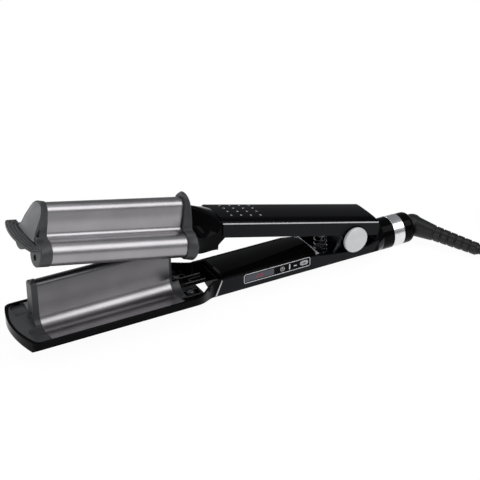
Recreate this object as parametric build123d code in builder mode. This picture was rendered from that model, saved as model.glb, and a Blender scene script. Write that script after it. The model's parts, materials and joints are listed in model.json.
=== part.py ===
from build123d import *

import os
from math import cos, pi, radians, sin, tan

# Deep hair waver: two hinged arms with wave plates, controls on one side and a mains lead on a swivel.
# Millimetres, +Z up, tips towards -X, controls on the -Y side. The origin is on the surface that the
# object lies on, under its middle. The arms stand open, as the hinge spring holds them.

os.makedirs("parts", exist_ok=True)

# ---------------------------------------------------------------- driving dimensions
# Heights are above the hinge axis and places along an arm are ahead of it, towards the tip.
HINGE_Z = 25.0            # hinge axis above the surface
OPENING = 11.6            # angle between the arms at rest, degrees
HANDLE_TILT = 2.17        # slope of the upper handle against its own plate, degrees

PLATE_TIP = 251.2
PLATE_LENGTH = 100.0
PLATE_HEEL = PLATE_TIP - PLATE_LENGTH
UPPER_HEEL = 149.0        # rear end of the upper plate
TONGUE_HALF = 4.2
TONGUE_CREST = 27.1
LOBE_Y = 14.3             # barrels of the upper plate, from the middle plane
LOBE_Z = 3.0
LOBE_RADIUS = 9.0
LOBE_BORE = 7.0
VALLEY_Z = 3.0
VALLEY_RADIUS = LOBE_Y - TONGUE_HALF
PLATE_HALF = 27.8
PLATE_EDGE_Z = -6.2
PLATE_FLOOR = -9.6
HEATER_HALF = 2.4
HEATER_TOP = 21.5
ARCH_CENTRE = 27.9        # centre of the rounding on top of the arch
ARCH_RADIUS = 5.4
ARCH_FOOT = 7.1           # half width of the arch above the barrels
HOLLOW_CENTRE = 26.2      # rounding inside the arch
HOLLOW_RADIUS = 4.6
HOLLOW_FOOT = LOBE_Y - LOBE_RADIUS

WALL = 2.0
HULL_HALF = 30.0
HULL_RIM = -4.7
HULL_EDGE = -10.0
HULL_TIP = 270.7
HULL_CORNER = 264.0
HULL_LIP = -11.3          # lower edge of the front wall
HULL_HEEL = 143.0
HULL_BELLY = -25.5        # cut flat at the surface
BELLY_SLOPE = 32.0        # slope of the belly beside its rounded keel, degrees
RIB = 2.0
RIB_PLACES = (257.0, 236.0, 212.0, 188.0, 168.0, 153.0)

HANDLE_HALF = 18.0
HANDLE_FRONT = 122.0
HANDLE_REAR = -22.0
HANDLE_RIM = -3.2
HANDLE_EDGE = -15.2
HANDLE_BELLY = -21.5
PANEL_THICK = 1.2
COVER_FRONT = 113.0
COVER_REAR = 34.0
COLLAR_Z = -12.3
COLLAR_RADIUS = 12.6
COLLAR_FRONT = -31.0
RING_FRONT = -41.1
RING_REAR = -51.5
RING_RADIUS = 12.7
COLLAR_END = -62.0

UPPER_LINE = 14.2         # silver line of the upper handle
UPPER_HALF = 15.8
UPPER_SIDE = 11.3
UPPER_CROWN = 3.4
UPPER_FRONT = 120.4
UPPER_REAR = -20.0
TRIM = 1.0
GUARD_Z = 9.7             # middle of the tip guard's thickness
GUARD_THICK = 1.8
GUARD_RADIUS = 72.0
GUARD_TIP = 271.7
GUARD_HALF = 24.5
CAP_TIP = 259.8           # front of the upper front cap at its crest and below its guard
CAP_FOOT = 263.0          # where its sloping front meets the guard
HOOD_TIP = 257.6          # inside of its front wall

PIN_RADIUS = 2.5
RUNNING = 0.05
DISC_RADIUS = 10.1
DISC_GAP = 0.6
DISC_FACE = 19.2
EAR_RADIUS = 7.5
LOWER_EAR = (8.8, 10.6)   # from and to, either side of the middle plane
UPPER_EAR = (11.0, 12.8)

PANEL_FRONT = 97.0        # control panel along the handle
PANEL_REAR = 41.0
PANEL_TOP = -3.9
PANEL_BOTTOM = -10.5

CORD_RADIUS = 3.3

HINGE_X = (HULL_TIP + COLLAR_END) / 2
SHELL_HALF = HANDLE_HALF - PANEL_THICK
SHELL_INNER = SHELL_HALF - 1.6
UPPER_SHELL = UPPER_HALF - PANEL_THICK
UPPER_INNER = UPPER_SHELL - 1.6

# ---------------------------------------------------------------- planes and helpers
LOWER = Plane(origin=(HINGE_X, 0, HINGE_Z), x_dir=(1, 0, 0), z_dir=(0, 0, 1))
UPPER = LOWER.rotated((0, OPENING, 0))
UPPER_HANDLE = UPPER.offset(UPPER_LINE).rotated((0, HANDLE_TILT, 0))


def across(arm, ahead):
    """Plane across an arm, ahead of the hinge: x is +Y, y is up, and it faces the rear."""
    return Plane(origin=arm.from_local_coords((-ahead, 0, 0)), x_dir=(0, 1, 0), z_dir=arm.x_dir)


def beside(arm, out=0.0):
    """Plane along an arm, out on the control side: x runs to the rear, y is up."""
    return Plane(origin=arm.from_local_coords((0, -out, 0)), x_dir=arm.x_dir, z_dir=-arm.y_dir)


# ---------------------------------------------------------------- sections
def lower_section(grow, floor, half):
    """Region under the lower working face: a tongue, two valleys and flat edges."""
    with BuildSketch() as section:
        with BuildLine():
            crest = CenterArc((0, TONGUE_CREST - TONGUE_HALF), TONGUE_HALF + grow, 0, 90)
            valley = CenterArc((LOBE_Y, VALLEY_Z), VALLEY_RADIUS - grow, 180, 90)
            Line(crest @ 0, valley @ 0)
            edge = Line(valley @ 1, (half, PLATE_EDGE_Z + grow))
            side = Line(edge @ 1, (half, floor + 0.7))
            bevel = Line(side @ 1, (half - 1.1, floor))
            base = Line(bevel @ 1, (0, floor))
            Line(base @ 1, crest @ 1)
        make_face()
        mirror(about=Plane.YZ)
    return section.sketch


def bell_section(arch_radius, foot_half, lobe_radius, blend):
    """Outer shape of the upper plate and its caps: a tall arch between two barrels."""
    foot_z = LOBE_Z + lobe_radius + 0.8
    with BuildSketch() as section:
        with BuildLine():
            crown = CenterArc((0, ARCH_CENTRE), arch_radius, 0, 180)
            right = Line(crown @ 0, (foot_half, foot_z))
            slope = Line(right @ 1, (LOBE_Y, LOBE_Z + lobe_radius))
            drop = Line(slope @ 1, (LOBE_Y, LOBE_Z))
            base = Line(drop @ 1, (-LOBE_Y, LOBE_Z))
            rise = Line(base @ 1, (-LOBE_Y, LOBE_Z + lobe_radius))
            back = Line(rise @ 1, (-foot_half, foot_z))
            Line(back @ 1, crown @ 1)
        make_face()
        feet = section.vertices().filter_by(lambda v: abs(v.Y - foot_z) < 0.01)
        fillet(feet, blend)
        with Locations((-LOBE_Y, LOBE_Z), (LOBE_Y, LOBE_Z)):
            Circle(lobe_radius)
    return section.sketch


def arch_hollow(foot):
    """Hollow of the arch that the tongue enters, open down to foot."""
    with BuildSketch() as section:
        with BuildLine():
            crown = CenterArc((0, HOLLOW_CENTRE), HOLLOW_RADIUS, 0, 180)
            right = Line(crown @ 0, (HOLLOW_FOOT, LOBE_Z))
            drop = Line(right @ 1, (HOLLOW_FOOT, foot))
            base = Line(drop @ 1, (-HOLLOW_FOOT, foot))
            rise = Line(base @ 1, (-HOLLOW_FOOT, LOBE_Z))
            Line(rise @ 1, crown @ 1)
        make_face()
    return section.sketch


def tray_section(half, rim, edge, belly):
    """Cross-section of the lower casings: upright sides, a sloping belly and a rounded keel."""
    slope = radians(BELLY_SLOPE)
    keel_radius = (tan(slope) * half - (edge - belly)) / (1 / cos(slope) - 1)
    keel_half = keel_radius * sin(slope)
    keel_z = belly + keel_radius * (1 - cos(slope))
    with BuildSketch() as section:
        with BuildLine():
            deck = Line((-half, rim), (half, rim))
            side = Line(deck @ 1, (half, edge))
            bilge = Line(side @ 1, (keel_half, keel_z))
            keel = ThreePointArc(bilge @ 1, (0, belly), (-keel_half, keel_z))
            rise = Line(keel @ 1, (-half, edge))
            Line(rise @ 1, deck @ 0)
        make_face()
    return section.sketch


# ---------------------------------------------------------------- lower head
def hull_form(inset):
    """Solid form of the head casing, inset from its outside; an inset form is open at the top."""
    half = HULL_HALF - inset
    rim = HULL_RIM + (6 * WALL if inset else 0)
    tip = HULL_TIP - inset
    with BuildPart() as form:
        with BuildSketch(across(LOWER, HULL_TIP)):
            add(tray_section(half, rim, HULL_EDGE + inset / 2, HULL_BELLY + inset))
        extrude(amount=HULL_TIP - HULL_HEEL)
        with BuildSketch(LOWER):
            with BuildLine():
                near = Line((-HULL_HEEL, -half), (-HULL_CORNER + inset, -half))
                front = ThreePointArc(near @ 1, (-tip, 0), (-HULL_CORNER + inset, half))
                far = Line(front @ 1, (-HULL_HEEL, half))
                Line(far @ 1, near @ 0)
            outline = make_face()
            fillet(outline.vertices().group_by(Axis.X)[0], 6.0 - inset)
        extrude(amount=60, both=True, mode=Mode.INTERSECT)
        with BuildSketch(beside(LOWER)):
            with BuildLine():
                prow = Line((-HULL_TIP - 4, HULL_LIP + 1.1 + inset), (-232, -21.9 + inset))
                keel = TangentArc(prow @ 1, (-205, HULL_BELLY + inset), tangent=prow % 1)
                Polyline(keel @ 1, (-HULL_HEEL, HULL_BELLY + inset), (-HULL_HEEL, 20),
                         (-HULL_TIP - 4, 20), prow @ 0)
            make_face()
        extrude(amount=60, both=True, mode=Mode.INTERSECT)
    return form.part


# ahead, half width, rim, edge and belly where the casing narrows to the handle
NECK_STATIONS = (
    (HULL_HEEL, HULL_HALF, HULL_RIM, HULL_EDGE, HULL_BELLY),
    (137.0, 28.2, -4.6, -10.9, -25.0),
    (131.0, 24.0, -4.2, -12.6, -23.7),
    (126.0, 20.0, -3.7, -14.2, -22.4),
    (HANDLE_FRONT, HANDLE_HALF, -3.5, HANDLE_EDGE, HANDLE_BELLY),
)


def neck_form(inset):
    """Solid form between the head casing and the handle, inset from its outside."""
    with BuildPart() as form:
        for ahead, half, rim, edge, belly in NECK_STATIONS:
            with BuildSketch(across(LOWER, ahead)):
                add(tray_section(half - inset, rim + 3 * inset, edge + inset / 2, belly + inset))
        loft()
    return form.part


hull_outside = hull_form(0)
hull_inside = hull_form(WALL)
neck_outside = neck_form(0)
neck_inside = neck_form(WALL)

with BuildPart() as hull_ribs:
    with BuildSketch(*[across(LOWER, ahead) for ahead in RIB_PLACES]):
        with Locations((0, (HULL_BELLY + PLATE_FLOOR) / 2)):
            Rectangle(2 * HULL_HALF, PLATE_FLOOR - HULL_BELLY)
    extrude(amount=RIB)
    add(hull_inside, mode=Mode.INTERSECT)

WINDOW_FRONT = 129.0
WINDOW_REAR = 115.0
WINDOW_HALF = 11.0

with BuildPart() as lower_head_casing:
    add(hull_outside)
    add(neck_outside)
    add(hull_inside, mode=Mode.SUBTRACT)
    add(neck_inside, mode=Mode.SUBTRACT)
    add(hull_ribs.part)
    with BuildSketch(LOWER.offset(HULL_BELLY - 5)):
        with Locations((-(WINDOW_FRONT + WINDOW_REAR) / 2, 0)):
            Rectangle(WINDOW_FRONT - WINDOW_REAR, 2 * WINDOW_HALF)
    extrude(amount=14, mode=Mode.SUBTRACT)
    split(bisect_by=Plane.XY, keep=Keep.TOP)
lower_head_casing.part.label = "lower_head_casing"
export_step(lower_head_casing.part, "parts/lower_head_casing.step")

with BuildPart() as lower_wave_plate:
    with BuildSketch(across(LOWER, PLATE_TIP)):
        add(lower_section(0, PLATE_FLOOR, PLATE_HALF))
        with Locations((0, (PLATE_FLOOR + HEATER_TOP) / 2)):
            Rectangle(2 * HEATER_HALF, HEATER_TOP - PLATE_FLOOR, mode=Mode.SUBTRACT)
    extrude(amount=PLATE_LENGTH)
lower_wave_plate.part.label = "lower_wave_plate"
export_step(lower_wave_plate.part, "parts/lower_wave_plate.step")

with BuildPart() as lower_heater:
    with BuildSketch(across(LOWER, PLATE_TIP - 6)):
        with Locations((0, (PLATE_FLOOR + HEATER_TOP) / 2)):
            Rectangle(2 * HEATER_HALF, HEATER_TOP - PLATE_FLOOR)
    extrude(amount=PLATE_LENGTH - 12)
lower_heater.part.label = "lower_heater"
export_step(lower_heater.part, "parts/lower_heater.step")

FUSE_RADIUS = 1.8
with BuildPart() as thermal_fuse:
    with BuildSketch(across(LOWER, 206)):
        with Locations((12, PLATE_FLOOR - FUSE_RADIUS)):
            Circle(FUSE_RADIUS)
    extrude(amount=14)
thermal_fuse.part.label = "thermal_fuse"
export_step(thermal_fuse.part, "parts/thermal_fuse.step")

# The front cap ends the plate with a block as tall as the tongue, rounded at its front corner.
CAP_LENGTH = 4.5
CAP_ROUND = 2.5
CAP_STEP = 0.5            # the block stands this much proud of the plate
BLOCK_FACE = -PLATE_TIP - CAP_LENGTH
BLOCK_CREST = TONGUE_CREST + CAP_STEP
with BuildPart() as cap_block:
    with BuildSketch(across(LOWER, PLATE_TIP + CAP_LENGTH)):
        add(lower_section(CAP_STEP, PLATE_FLOOR, HULL_HALF - WALL))
    extrude(amount=CAP_LENGTH)
    with BuildSketch(beside(LOWER)):
        with BuildLine():
            RadiusArc((BLOCK_FACE, BLOCK_CREST - CAP_ROUND), (BLOCK_FACE + CAP_ROUND, BLOCK_CREST), CAP_ROUND)
            Polyline((BLOCK_FACE + CAP_ROUND, BLOCK_CREST), (-PLATE_TIP, BLOCK_CREST),
                     (-PLATE_TIP, PLATE_FLOOR), (BLOCK_FACE, PLATE_FLOOR),
                     (BLOCK_FACE, BLOCK_CREST - CAP_ROUND))
        make_face()
    extrude(amount=HULL_HALF, both=True, mode=Mode.INTERSECT)

# The tray ahead of the block has two scooped pockets that take the barrel ends.
TRAY_TOP = -5.4
POCKET_LONG = 13.4
POCKET_WIDE = 20.0
POCKET_Y = 18.0
with BuildPart() as lower_front_cap:
    with BuildSketch(across(LOWER, HULL_TIP)):
        with Locations((0, (TRAY_TOP + PLATE_FLOOR) / 2)):
            Rectangle(2 * HULL_HALF, TRAY_TOP - PLATE_FLOOR)
    extrude(amount=HULL_TIP - PLATE_TIP)
    add(hull_inside, mode=Mode.INTERSECT)
    add(cap_block.part)
    with BuildSketch(LOWER.offset(PLATE_FLOOR)):
        with Locations((BLOCK_FACE, -POCKET_Y), (BLOCK_FACE, POCKET_Y)):
            RectangleRounded(POCKET_LONG, POCKET_WIDE, 4.5)
    pocket_plan = extrude(amount=20, mode=Mode.PRIVATE)
    with BuildSketch(across(LOWER, HULL_TIP)):
        with Locations((-LOBE_Y, VALLEY_Z), (LOBE_Y, VALLEY_Z)):
            Circle(VALLEY_RADIUS)
        with Locations((-LOBE_Y - 8, 2), (LOBE_Y + 8, 2)):
            Rectangle(16, 2 * (VALLEY_Z + 5.8))
    scoops = extrude(amount=HULL_TIP - PLATE_TIP, mode=Mode.PRIVATE)
    add(pocket_plan & scoops, mode=Mode.SUBTRACT)
    with Locations(across(LOWER, PLATE_TIP + CAP_LENGTH)):
        with Locations((0, 1.5, 0)):
            Cylinder(1.3, 5, mode=Mode.SUBTRACT)
lower_front_cap.part.label = "lower_front_cap"
export_step(lower_front_cap.part, "parts/lower_front_cap.step")

FLANGE_LENGTH = 1.6
FLANGE_STEP = 0.2
with BuildPart() as lower_rear_flange:
    with BuildSketch(across(LOWER, PLATE_HEEL)):
        add(lower_section(FLANGE_STEP, PLATE_FLOOR, PLATE_HALF))
        with Locations((0, (PLATE_FLOOR + HEATER_TOP) / 2 - 8)):
            Rectangle(3.0, HEATER_TOP - PLATE_FLOOR - 8, mode=Mode.SUBTRACT)
    extrude(amount=FLANGE_LENGTH)
lower_rear_flange.part.label = "lower_rear_flange"
export_step(lower_rear_flange.part, "parts/lower_rear_flange.step")

# ---------------------------------------------------------------- lower neck
NECK_FLOOR = -14.6
NECK_RIB_TOP = -9.8
NECK_SLOPE = 129.5        # where the floor of the skeleton stops at the window
NECK_FRONT = PLATE_HEEL - FLANGE_LENGTH
NECK_BARS = (-15.5, -7.2, 7.2, 15.5)
neck_room = neck_inside + hull_inside
with BuildPart() as lower_neck_frame:
    with BuildSketch(LOWER.offset(NECK_FLOOR)):
        with Locations((-(NECK_FRONT + NECK_SLOPE) / 2, 0)):
            Rectangle(NECK_FRONT - NECK_SLOPE, 2 * HULL_HALF)
    extrude(amount=1.8)
    with BuildSketch(LOWER.offset(NECK_FLOOR)):
        with Locations(*[(-(NECK_FRONT + NECK_SLOPE) / 2, place) for place in NECK_BARS]):
            Rectangle(NECK_FRONT - NECK_SLOPE, 1.6)
        with Locations((-NECK_SLOPE - 0.8, 0)):
            Rectangle(1.6, 2 * HULL_HALF)
        with Locations((-HULL_HEEL + 5, -11.3), (-HULL_HEEL + 5, 11.3)):
            Circle(3.0)
    extrude(amount=NECK_RIB_TOP - NECK_FLOOR)
    add(neck_room, mode=Mode.INTERSECT)
lower_neck_frame.part.label = "lower_neck_frame"
export_step(lower_neck_frame.part, "parts/lower_neck_frame.step")

with BuildPart() as lower_screws:
    with Locations(LOWER.offset(NECK_RIB_TOP)):
        with Locations((-HULL_HEEL + 5, -11.3), (-HULL_HEEL + 5, 11.3)):
            Cylinder(2.4, 1.3, align=(Align.CENTER, Align.CENTER, Align.MIN))
    fillet(lower_screws.faces().sort_by(Axis.Z)[-2:].edges(), 0.5)
lower_screws.part.label = "lower_screws"
export_step(lower_screws.part, "parts/lower_screws.step")

# ---------------------------------------------------------------- lower handle
RIM_POINTS = ((-45, HANDLE_RIM), (-18, -7.5), (-9, -8.5), (12, -8.5), (-HANDLE_REAR, -6.5))
PANEL_NOSE_TOP = -114.6   # the side panels start with a slant
PANEL_NOSE_BOTTOM = -120.0
TRIM_STEP = 1.2

HANDLE_RISE = 4.0         # the underside rises this much from below the hinge to the rear


def under_rise(lift):
    """Region under the rising rear of the handle, lifted."""
    with BuildPart() as region:
        with BuildSketch(beside(LOWER)):
            with BuildLine():
                Polyline((-2, HANDLE_BELLY + lift), (-HANDLE_REAR, HANDLE_BELLY + HANDLE_RISE + lift),
                         (-HANDLE_REAR, HULL_BELLY - 5), (-2, HULL_BELLY - 5), close=True)
            make_face()
        extrude(amount=HULL_HALF, both=True)
    return region.part


with BuildPart() as handle_outside:
    with BuildSketch(across(LOWER, HANDLE_FRONT)):
        add(tray_section(HANDLE_HALF, HANDLE_RIM, HANDLE_EDGE, HANDLE_BELLY))
    extrude(amount=HANDLE_FRONT - HANDLE_REAR)
    add(under_rise(0), mode=Mode.SUBTRACT)

with BuildPart() as handle_inside:
    with BuildSketch(across(LOWER, HANDLE_FRONT)):
        add(tray_section(SHELL_INNER, HANDLE_RIM + 5, HANDLE_EDGE + 1, HANDLE_BELLY + WALL))
    extrude(amount=HANDLE_FRONT - HANDLE_REAR - 2)
    add(under_rise(WALL), mode=Mode.SUBTRACT)

with BuildPart() as side_blank:
    with BuildSketch(beside(LOWER, SHELL_HALF)):
        with BuildLine():
            Polyline((PANEL_NOSE_TOP - TRIM_STEP, HANDLE_RIM), *RIM_POINTS, (17.5, HANDLE_EDGE + 0.4),
                     (PANEL_NOSE_BOTTOM - TRIM_STEP, HANDLE_EDGE + 0.4), close=True)
        make_face()
    extrude(amount=PANEL_THICK)

with BuildPart() as disc_room:
    with BuildSketch(Plane.XZ.shift_origin(LOWER.origin)):
        Circle(DISC_RADIUS + DISC_GAP)
    extrude(amount=HANDLE_HALF + 3, both=True)
    with BuildSketch(Plane.XZ.shift_origin(LOWER.origin)):
        Circle(DISC_RADIUS + DISC_GAP)
    extrude(amount=SHELL_HALF - 0.4, both=True, mode=Mode.SUBTRACT)

BRACKET_BASE = -17.0      # the hinge bracket stands on two ribs
BRACKET_THICK = 1.6
BRACKET_RIBS = (22.0, -6.0)
with BuildPart() as bracket_ribs:
    with BuildSketch(*[across(LOWER, ahead) for ahead in BRACKET_RIBS]):
        with Locations((0, BRACKET_BASE - 4)):
            Rectangle(2 * HANDLE_HALF, 8)
    extrude(amount=3)
    add(handle_inside.part, mode=Mode.INTERSECT)

PANEL_X = -(PANEL_FRONT + PANEL_REAR) / 2
PANEL_Z = (PANEL_TOP + PANEL_BOTTOM) / 2
PANEL_LONG = PANEL_FRONT - PANEL_REAR
PANEL_TALL = PANEL_TOP - PANEL_BOTTOM
RING_LINE = 0.5           # width of the silver line round the control panel
DISPLAY_X = -84.2
DISPLAY_LONG = 24.6
DISPLAY_TALL = 5.0
MODE_X = -64.8
TEMPERATURE_X = -53.7
POWER_X = -45.9
BAR_X = -58.4
BAR_WIDE = 0.9
BAR_TALL = 4.4
BUTTON_GAP = 0.15
BUTTON_FACE = HANDLE_HALF + 0.4
BUTTON_BACK = 15.8
BOARD_FACE = 12.6
BOARD_THICK = 1.2


def mode_outline(grow):
    """Outline of the mode button."""
    with BuildSketch() as outline:
        Rectangle(6.6 + 2 * grow, 5.0 + 2 * grow)
        chamfer(outline.vertices(), 1.1)
    return outline.sketch


def temperature_outline(grow):
    """Outline of the temperature button."""
    with BuildSketch() as outline:
        RectangleRounded(4.4 + 2 * grow, 5.0 + 2 * grow, 0.8)
    return outline.sketch


def power_outline(grow):
    """Outline of the power button."""
    with BuildSketch() as outline:
        SlotOverall(7.2 + 2 * grow, 3.8 + 2 * grow)
    return outline.sketch


BUTTONS = ((MODE_X, mode_outline), (TEMPERATURE_X, temperature_outline), (POWER_X, power_outline))

with BuildPart() as lower_handle_shell:
    add(handle_outside.part)
    add(handle_inside.part, mode=Mode.SUBTRACT)
    with BuildSketch(across(LOWER, WINDOW_REAR)):
        add(tray_section(SHELL_INNER, -6.0, HANDLE_EDGE + 1, HANDLE_BELLY + WALL))
    extrude(amount=RIB)
    add(bracket_ribs.part)
    with BuildSketch(beside(LOWER)):
        with BuildLine():
            Polyline((-HANDLE_FRONT, HANDLE_RIM), *RIM_POINTS, (-HANDLE_REAR, 9), (-HANDLE_FRONT, 9),
                     close=True)
        make_face()
    extrude(amount=40, both=True, mode=Mode.SUBTRACT)
    with BuildSketch(LOWER.offset(HULL_BELLY)):
        with Locations((-(HANDLE_FRONT + WINDOW_REAR) / 2, 0)):
            Rectangle(HANDLE_FRONT - WINDOW_REAR, 2 * WINDOW_HALF)
    extrude(amount=14, mode=Mode.SUBTRACT)
    add(side_blank.part, mode=Mode.SUBTRACT)
    mirror(side_blank.part, about=Plane.XZ, mode=Mode.SUBTRACT)
    with BuildSketch(beside(LOWER, SHELL_INNER)):
        with Locations((PANEL_X, PANEL_Z)):
            Rectangle(PANEL_LONG - 1, PANEL_TALL - 1)
    extrude(amount=5, both=True, mode=Mode.SUBTRACT)
    with BuildSketch(beside(LOWER, SHELL_INNER)):
        with Locations((-PANEL_FRONT - 3, PANEL_Z - 0.7), (-PANEL_REAR + 3, PANEL_Z - 0.7)):
            Circle(1.5)
    extrude(amount=-(SHELL_INNER - BOARD_FACE))
    with BuildSketch(across(LOWER, HANDLE_REAR)):
        with Locations((0, (HANDLE_BELLY + HANDLE_RISE - 6.5) / 2)):
            RectangleRounded(2 * HANDLE_HALF - 1, -6.5 - HANDLE_BELLY - HANDLE_RISE, 4.5)
    with BuildSketch(across(LOWER, COLLAR_FRONT)):
        with Locations((0, COLLAR_Z)):
            RectangleRounded(2 * COLLAR_RADIUS, 2 * COLLAR_RADIUS, COLLAR_RADIUS - 0.1)
    loft()
lower_handle_shell.part.label = "lower_handle_shell"
export_step(lower_handle_shell.part, "parts/lower_handle_shell.step")


def lower_panel():
    """Satin side panel of the lower handle, whole and without its front trim."""
    with BuildPart() as panel:
        add(side_blank.part)
        with BuildSketch(beside(LOWER, SHELL_HALF)):
            with BuildLine():
                Polyline((PANEL_NOSE_TOP, HANDLE_RIM + 1), (PANEL_NOSE_BOTTOM, HANDLE_EDGE),
                         (-HANDLE_FRONT - 5, HANDLE_EDGE), (-HANDLE_FRONT - 5, HANDLE_RIM + 1), close=True)
            make_face()
        extrude(amount=PANEL_THICK, mode=Mode.SUBTRACT)
        add(disc_room.part, mode=Mode.SUBTRACT)
    return panel.part


plain_panel = lower_panel()

with BuildPart() as lower_side_panel_right:
    mirror(plain_panel, about=Plane.XZ)
lower_side_panel_right.part.label = "lower_side_panel_right"
export_step(lower_side_panel_right.part, "parts/lower_side_panel_right.step")

with BuildPart() as lower_side_panel_left:
    add(plain_panel)
    with BuildSketch(beside(LOWER, SHELL_HALF)):
        with Locations((PANEL_X, PANEL_Z)):
            RectangleRounded(PANEL_LONG + 2 * RING_LINE, PANEL_TALL + 2 * RING_LINE, 1.2 + RING_LINE)
    extrude(amount=PANEL_THICK, mode=Mode.SUBTRACT)
lower_side_panel_left.part.label = "lower_side_panel_left"
export_step(lower_side_panel_left.part, "parts/lower_side_panel_left.step")

with BuildPart() as lower_front_trims:
    add(side_blank.part)
    add(plain_panel, mode=Mode.SUBTRACT)
    add(disc_room.part, mode=Mode.SUBTRACT)
    mirror(lower_front_trims.part, about=Plane.XZ)
lower_front_trims.part.label = "lower_front_trims"
export_step(lower_front_trims.part, "parts/lower_front_trims.step")

COVER_EDGE_Z = -3.0
COVER_CROWN = 1.5
COVER_THICK = 1.9
with BuildPart() as lower_inner_cover:
    with BuildSketch(across(LOWER, COVER_FRONT)):
        with BuildLine():
            crown = ThreePointArc((-SHELL_INNER, COVER_EDGE_Z), (0, COVER_EDGE_Z + COVER_CROWN),
                                  (SHELL_INNER, COVER_EDGE_Z))
            Polyline(crown @ 1, (SHELL_INNER, COVER_EDGE_Z - COVER_THICK),
                     (-SHELL_INNER, COVER_EDGE_Z - COVER_THICK), crown @ 0)
        make_face()
    extrude(amount=COVER_FRONT - COVER_REAR)
    chamfer(lower_inner_cover.edges().filter_by(GeomType.CIRCLE).group_by(Axis.X)[0], 1.2)
lower_inner_cover.part.label = "lower_inner_cover"
export_step(lower_inner_cover.part, "parts/lower_inner_cover.step")

STRIP_LONG = 3.2
with BuildPart() as cover_end_strip:
    with BuildSketch(beside(LOWER)):
        with BuildLine():
            Polyline((-COVER_REAR, COVER_EDGE_Z + 0.3),
                     (-COVER_REAR + STRIP_LONG, COVER_EDGE_Z - COVER_THICK + 0.6),
                     (-COVER_REAR + STRIP_LONG, COVER_EDGE_Z - COVER_THICK),
                     (-COVER_REAR, COVER_EDGE_Z - COVER_THICK), close=True)
        make_face()
    extrude(amount=SHELL_INNER, both=True)
cover_end_strip.part.label = "cover_end_strip"
export_step(cover_end_strip.part, "parts/cover_end_strip.step")

# ---------------------------------------------------------------- controls
with BuildPart() as bezel_ring:
    with BuildSketch(beside(LOWER, SHELL_HALF)):
        with Locations((PANEL_X, PANEL_Z)):
            RectangleRounded(PANEL_LONG + 2 * RING_LINE, PANEL_TALL + 2 * RING_LINE, 1.2 + RING_LINE)
            RectangleRounded(PANEL_LONG, PANEL_TALL, 1.2, mode=Mode.SUBTRACT)
    extrude(amount=PANEL_THICK + 0.25)
bezel_ring.part.label = "bezel_ring"
export_step(bezel_ring.part, "parts/bezel_ring.step")

with BuildPart() as control_bezel:
    with BuildSketch(beside(LOWER, SHELL_HALF)):
        with Locations((PANEL_X, PANEL_Z)):
            RectangleRounded(PANEL_LONG, PANEL_TALL, 1.2)
        with Locations((DISPLAY_X, PANEL_Z)):
            Rectangle(DISPLAY_LONG, DISPLAY_TALL, mode=Mode.SUBTRACT)
        with Locations((BAR_X, PANEL_Z)):
            Rectangle(BAR_WIDE, BAR_TALL, mode=Mode.SUBTRACT)
        for place, outline in BUTTONS:
            with Locations((place, PANEL_Z)):
                add(outline(BUTTON_GAP), mode=Mode.SUBTRACT)
    extrude(amount=PANEL_THICK + 0.1)
control_bezel.part.label = "control_bezel"
export_step(control_bezel.part, "parts/control_bezel.step")

with BuildPart() as display_window:
    with BuildSketch(beside(LOWER, SHELL_HALF + 0.2)):
        with Locations((DISPLAY_X, PANEL_Z)):
            Rectangle(DISPLAY_LONG, DISPLAY_TALL)
    extrude(amount=PANEL_THICK - 0.1)
display_window.part.label = "display_window"
export_step(display_window.part, "parts/display_window.step")

with BuildPart() as display_module:
    with BuildSketch(beside(LOWER, BOARD_FACE)):
        with Locations((DISPLAY_X, PANEL_Z)):
            Rectangle(DISPLAY_LONG - 0.4, DISPLAY_TALL - 0.4)
    extrude(amount=SHELL_HALF + 0.2 - BOARD_FACE)
display_module.part.label = "display_module"
export_step(display_module.part, "parts/display_module.step")

with BuildPart() as indicator_light:
    with BuildSketch(beside(LOWER, BOARD_FACE)):
        with Locations((BAR_X, PANEL_Z)):
            Rectangle(BAR_WIDE, BAR_TALL)
    extrude(amount=HANDLE_HALF + 0.1 - BOARD_FACE)
indicator_light.part.label = "indicator_light"
export_step(indicator_light.part, "parts/indicator_light.step")

with BuildPart() as control_board:
    with BuildSketch(beside(LOWER, BOARD_FACE - BOARD_THICK)):
        with Locations((PANEL_X, PANEL_Z - 0.9)):
            Rectangle(PANEL_LONG + 10, 5.2)
    extrude(amount=BOARD_THICK)
control_board.part.label = "control_board"
export_step(control_board.part, "parts/control_board.step")

with BuildPart() as tact_switches:
    with BuildSketch(beside(LOWER, BOARD_FACE)):
        with Locations(*[(place, PANEL_Z - 0.3) for place, outline in BUTTONS]):
            Rectangle(3.6, 3.6)
    extrude(amount=1.7)
    with BuildSketch(beside(LOWER, BOARD_FACE + 1.7)):
        with Locations(*[(place, PANEL_Z - 0.3) for place, outline in BUTTONS]):
            Circle(0.9)
    extrude(amount=0.8)
tact_switches.part.label = "tact_switches"
export_step(tact_switches.part, "parts/tact_switches.step")


def push_button(place, outline):
    """Button that slides through the bezel, with its stem behind it."""
    with BuildPart() as button:
        with BuildSketch(beside(LOWER, BUTTON_BACK)):
            with Locations((place, PANEL_Z)):
                add(outline(0))
        extrude(amount=BUTTON_FACE - BUTTON_BACK)
        chamfer(button.faces().sort_by(Axis.Y)[0].edges(), 0.25)
    return button.part


with BuildPart() as mode_button:
    add(push_button(MODE_X, mode_outline))
mode_button.part.label = "mode_button"
export_step(mode_button.part, "parts/mode_button.step")

with BuildPart() as temperature_button:
    add(push_button(TEMPERATURE_X, temperature_outline))
temperature_button.part.label = "temperature_button"
export_step(temperature_button.part, "parts/temperature_button.step")

with BuildPart() as power_button:
    add(push_button(POWER_X, power_outline))
power_button.part.label = "power_button"
export_step(power_button.part, "parts/power_button.step")

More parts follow.
